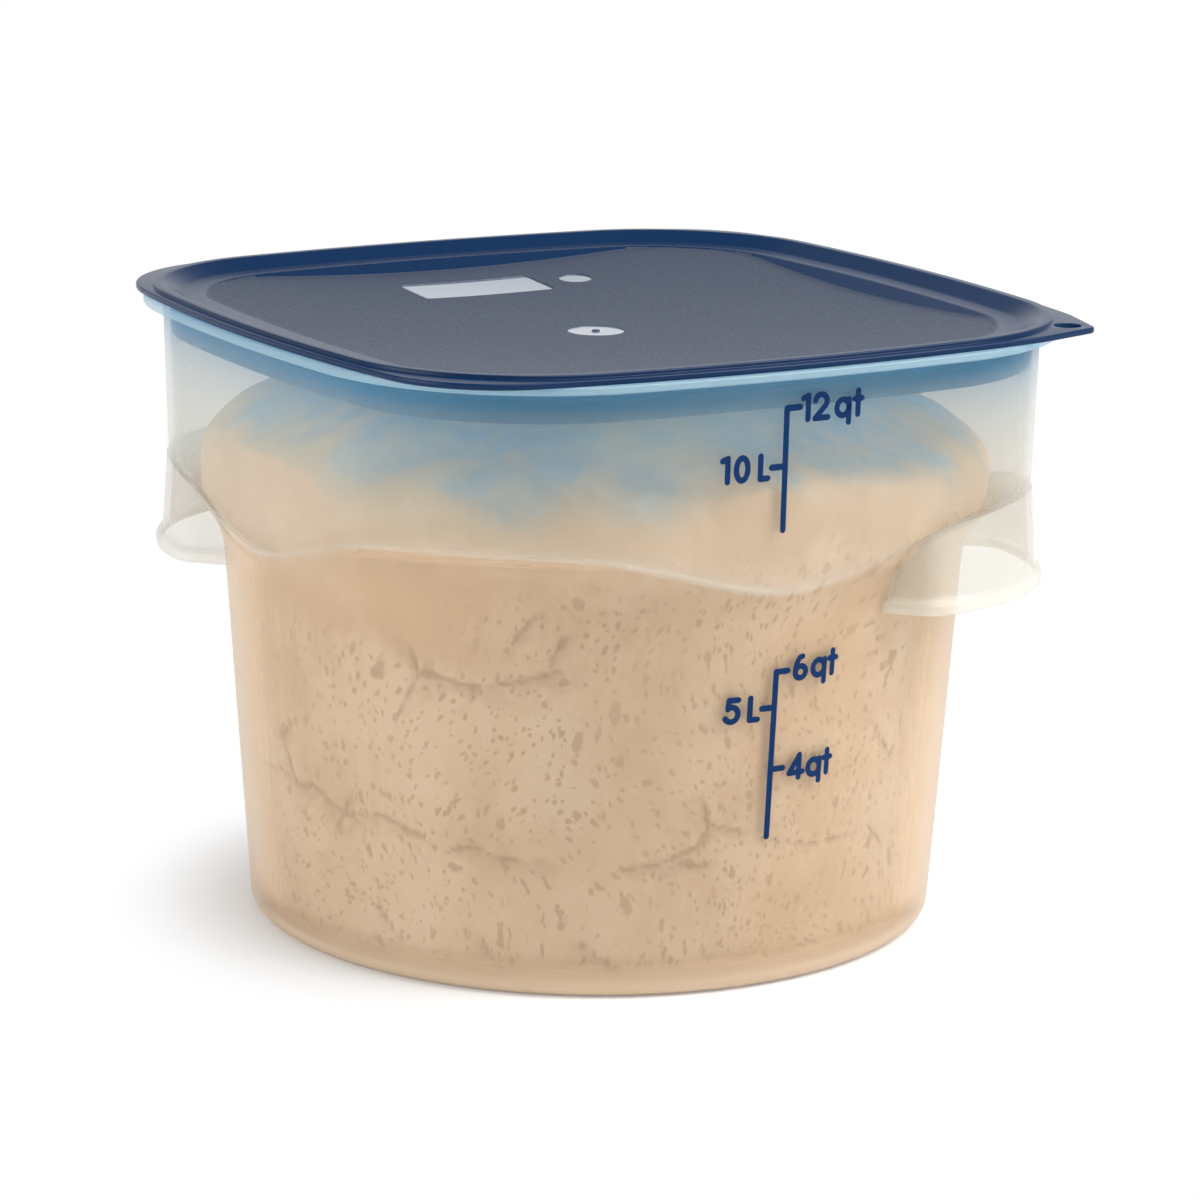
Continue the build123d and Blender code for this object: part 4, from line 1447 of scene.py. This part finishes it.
# %% Dough material
def risen_dough(tree):
    """Cream dough: tan in patches, along strands and on the skin, with painted shade: blue where the lid's
    shade lies, and darker in its bubbles and creases."""
    crease, skin, shade = [
        add_node(tree, "Attribute", attribute_name=name).outputs["Fac"]
        for name in ("crease", "skin", "shade")]
    place = add_node(tree, "TexCoord").outputs["Object"]
    bent = bent_place(tree, place)
    mask = 0.0
    for sizes in BUBBLES:
        mask = add_node(tree, "Math", (mask, bubble_layer(tree, bent, *sizes)), operation="MAXIMUM")
    crowd = patches(tree, bent, *DOUGH_CROWD)
    rough = add_node(tree, "Math", (1.0, skin), operation="SUBTRACT")
    for share in (crowd, rough):
        mask = add_node(tree, "Math", (mask, share), operation="MULTIPLY")
    mottle = patches(tree, place, *DOUGH_MOTTLE)
    drawn = add_node(tree, "VectorMath", (bent, STRAND_STRETCH), operation="MULTIPLY")
    strands = patches(tree, drawn, *DOUGH_STRANDS)
    tan = add_node(tree, "Math", (skin, DOUGH_SKIN_TAN, mottle), operation="MULTIPLY_ADD")
    tan = add_node(tree, "Math", (tan, strands), operation="ADD", use_clamp=True)
    wisps = patches(tree, bent, *DOUGH_WISPS)
    painted_lid_blue = add_node(tree, "Math", (shade, wisps), operation="MULTIPLY", use_clamp=True)
    colour = layered(tree, DOUGH_COLOUR, (
        (tan, DOUGH_TAN_COLOUR), (painted_lid_blue, DOUGH_SHADE_COLOUR),
        (mask, DOUGH_BUBBLE_SHADE_COLOUR), (crease, DOUGH_CREASE_SHADE_COLOUR)))
    grain = add_node(tree, "TexNoise", {"Vector": bent, "Scale": 1 / (DOUGH_GRAIN_MM * MM), "Detail": 3.0})
    pits = add_node(tree, "Math", (mask, -1.0, grain), operation="MULTIPLY_ADD")
    bump = add_node(tree, "Bump", {
        "Height": pits, "Strength": DOUGH_PIT_STRENGTH, "Distance": DOUGH_PIT_MM * MM})
    return add_node(tree, "BsdfPrincipled", {
        "Base Color": colour, "Roughness": DOUGH_ROUGHNESS, "Normal": bump})


give_material(dough, "risen_wheat_dough", risen_dough)
print("materials:", [material.name for material in bpy.data.materials])

# %% [markdown]
# ## Floor, light and background
# The photograph is a shop picture: a pale object on white, lit softly, more from the right than from the
# left. The ceiling of the studio is darker than its walls, which keeps the slopes of the lid dark while its
# panel shows the pale wall behind it. A large soft lamp above and one at each side do the rest. The white
# of the background comes from the colour of the floor and of the world as the camera sees them, not from
# more light. A studio is a few metres wide, so its sizes are in metres.

# %% Lamps
def add_lamp(name, place, size, power):
    """A square soft lamp that faces the middle of the object."""
    data = bpy.data.lights.new(name, "AREA")
    data.shape = "SQUARE"
    data.size = size
    data.energy = power
    lamp = add_object(name, data)
    place = Vector(place)
    aim = Vector((0, 0, CAMERA_AIM_HEIGHT * MM)) - place
    lamp.matrix_world = Matrix.Translation(place) @ aim.to_track_quat("-Z", "Y").to_matrix().to_4x4()


add_lamp("lamp_above", (0.35, -0.5, 1.5), 1.2, 19)
add_lamp("lamp_left", (-1.5, 0.1, 0.6), 1.0, 11)
add_lamp("lamp_right", (0.95, -1.05, 1.2), 1.0, 18)

# %% Floor
FLOOR_HALF = 4.0
FLOOR_FADE = (0.1, 0.18)
PAPER_COLOUR = "F8F8F8"
WHITE = "FFFFFF"


def seen_directly(tree):
    """1 for rays from the camera, from a gloss or through clear plastic, and 0 for light on surfaces."""
    path = add_node(tree, "LightPath")
    direct = path.outputs["Is Camera Ray"]
    for kind in ("Is Glossy Ray", "Is Transmission Ray"):
        direct = add_node(tree, "Math", (direct, path.outputs[kind]), operation="MAXIMUM")
    return direct


def floor_paper(tree):
    """Pale paper near the object, which shows its shadow, and plain white as seen further away."""
    place = add_node(tree, "TexCoord").outputs["Object"]
    distance = add_node(tree, "VectorMath", (place,), operation="LENGTH")
    fade = add_node(tree, "MapRange", (distance, *FLOOR_FADE), interpolation_type="SMOOTHSTEP")
    share = add_node(tree, "Math", (fade, seen_directly(tree)), operation="MULTIPLY")
    paper = add_node(tree, "BsdfDiffuse", {"Color": linear(PAPER_COLOUR)})
    white = add_node(tree, "Emission", {"Color": linear(WHITE), "Strength": 1.0})
    return add_node(tree, "MixShader", (share, paper, white))


floor_mesh = bpy.data.meshes.new("floor")
corners = [(x * FLOOR_HALF, y * FLOOR_HALF, 0) for x, y in ((-1, -1), (1, -1), (1, 1), (-1, 1))]
floor_mesh.from_pydata(corners, [], [(0, 1, 2, 3)])
floor = add_object("floor", floor_mesh)
give_material(floor, "white_studio_paper", floor_paper)

# %% World
WALL_STRENGTH = 0.85
CEILING_STRENGTH = 0.2
CEILING_BLEND = (0.2, 0.55)


def make_world():
    """White for the camera. For gloss and light, pale studio walls that darken towards the ceiling."""
    world = bpy.data.worlds.new("studio")
    bpy.context.scene.world = world
    world.use_nodes = True
    tree = world.node_tree
    tree.nodes.clear()
    direction = add_node(tree, "TexCoord").outputs["Generated"]
    rise = add_node(tree, "SeparateXYZ", {"Vector": direction}).outputs["Z"]
    grades = (rise, *CEILING_BLEND, WALL_STRENGTH, CEILING_STRENGTH)
    strength = add_node(tree, "MapRange", grades, interpolation_type="SMOOTHSTEP")
    studio = add_node(tree, "Background", {"Color": linear(WHITE), "Strength": strength})
    white = add_node(tree, "Background", {"Color": linear(WHITE), "Strength": 1.0})
    camera_ray = add_node(tree, "LightPath").outputs["Is Camera Ray"]
    mixed = add_node(tree, "MixShader", (camera_ray, studio, white))
    add_node(tree, "OutputWorld", {"Surface": mixed})


make_world()
bpy.context.scene.view_settings.view_transform = "Standard"
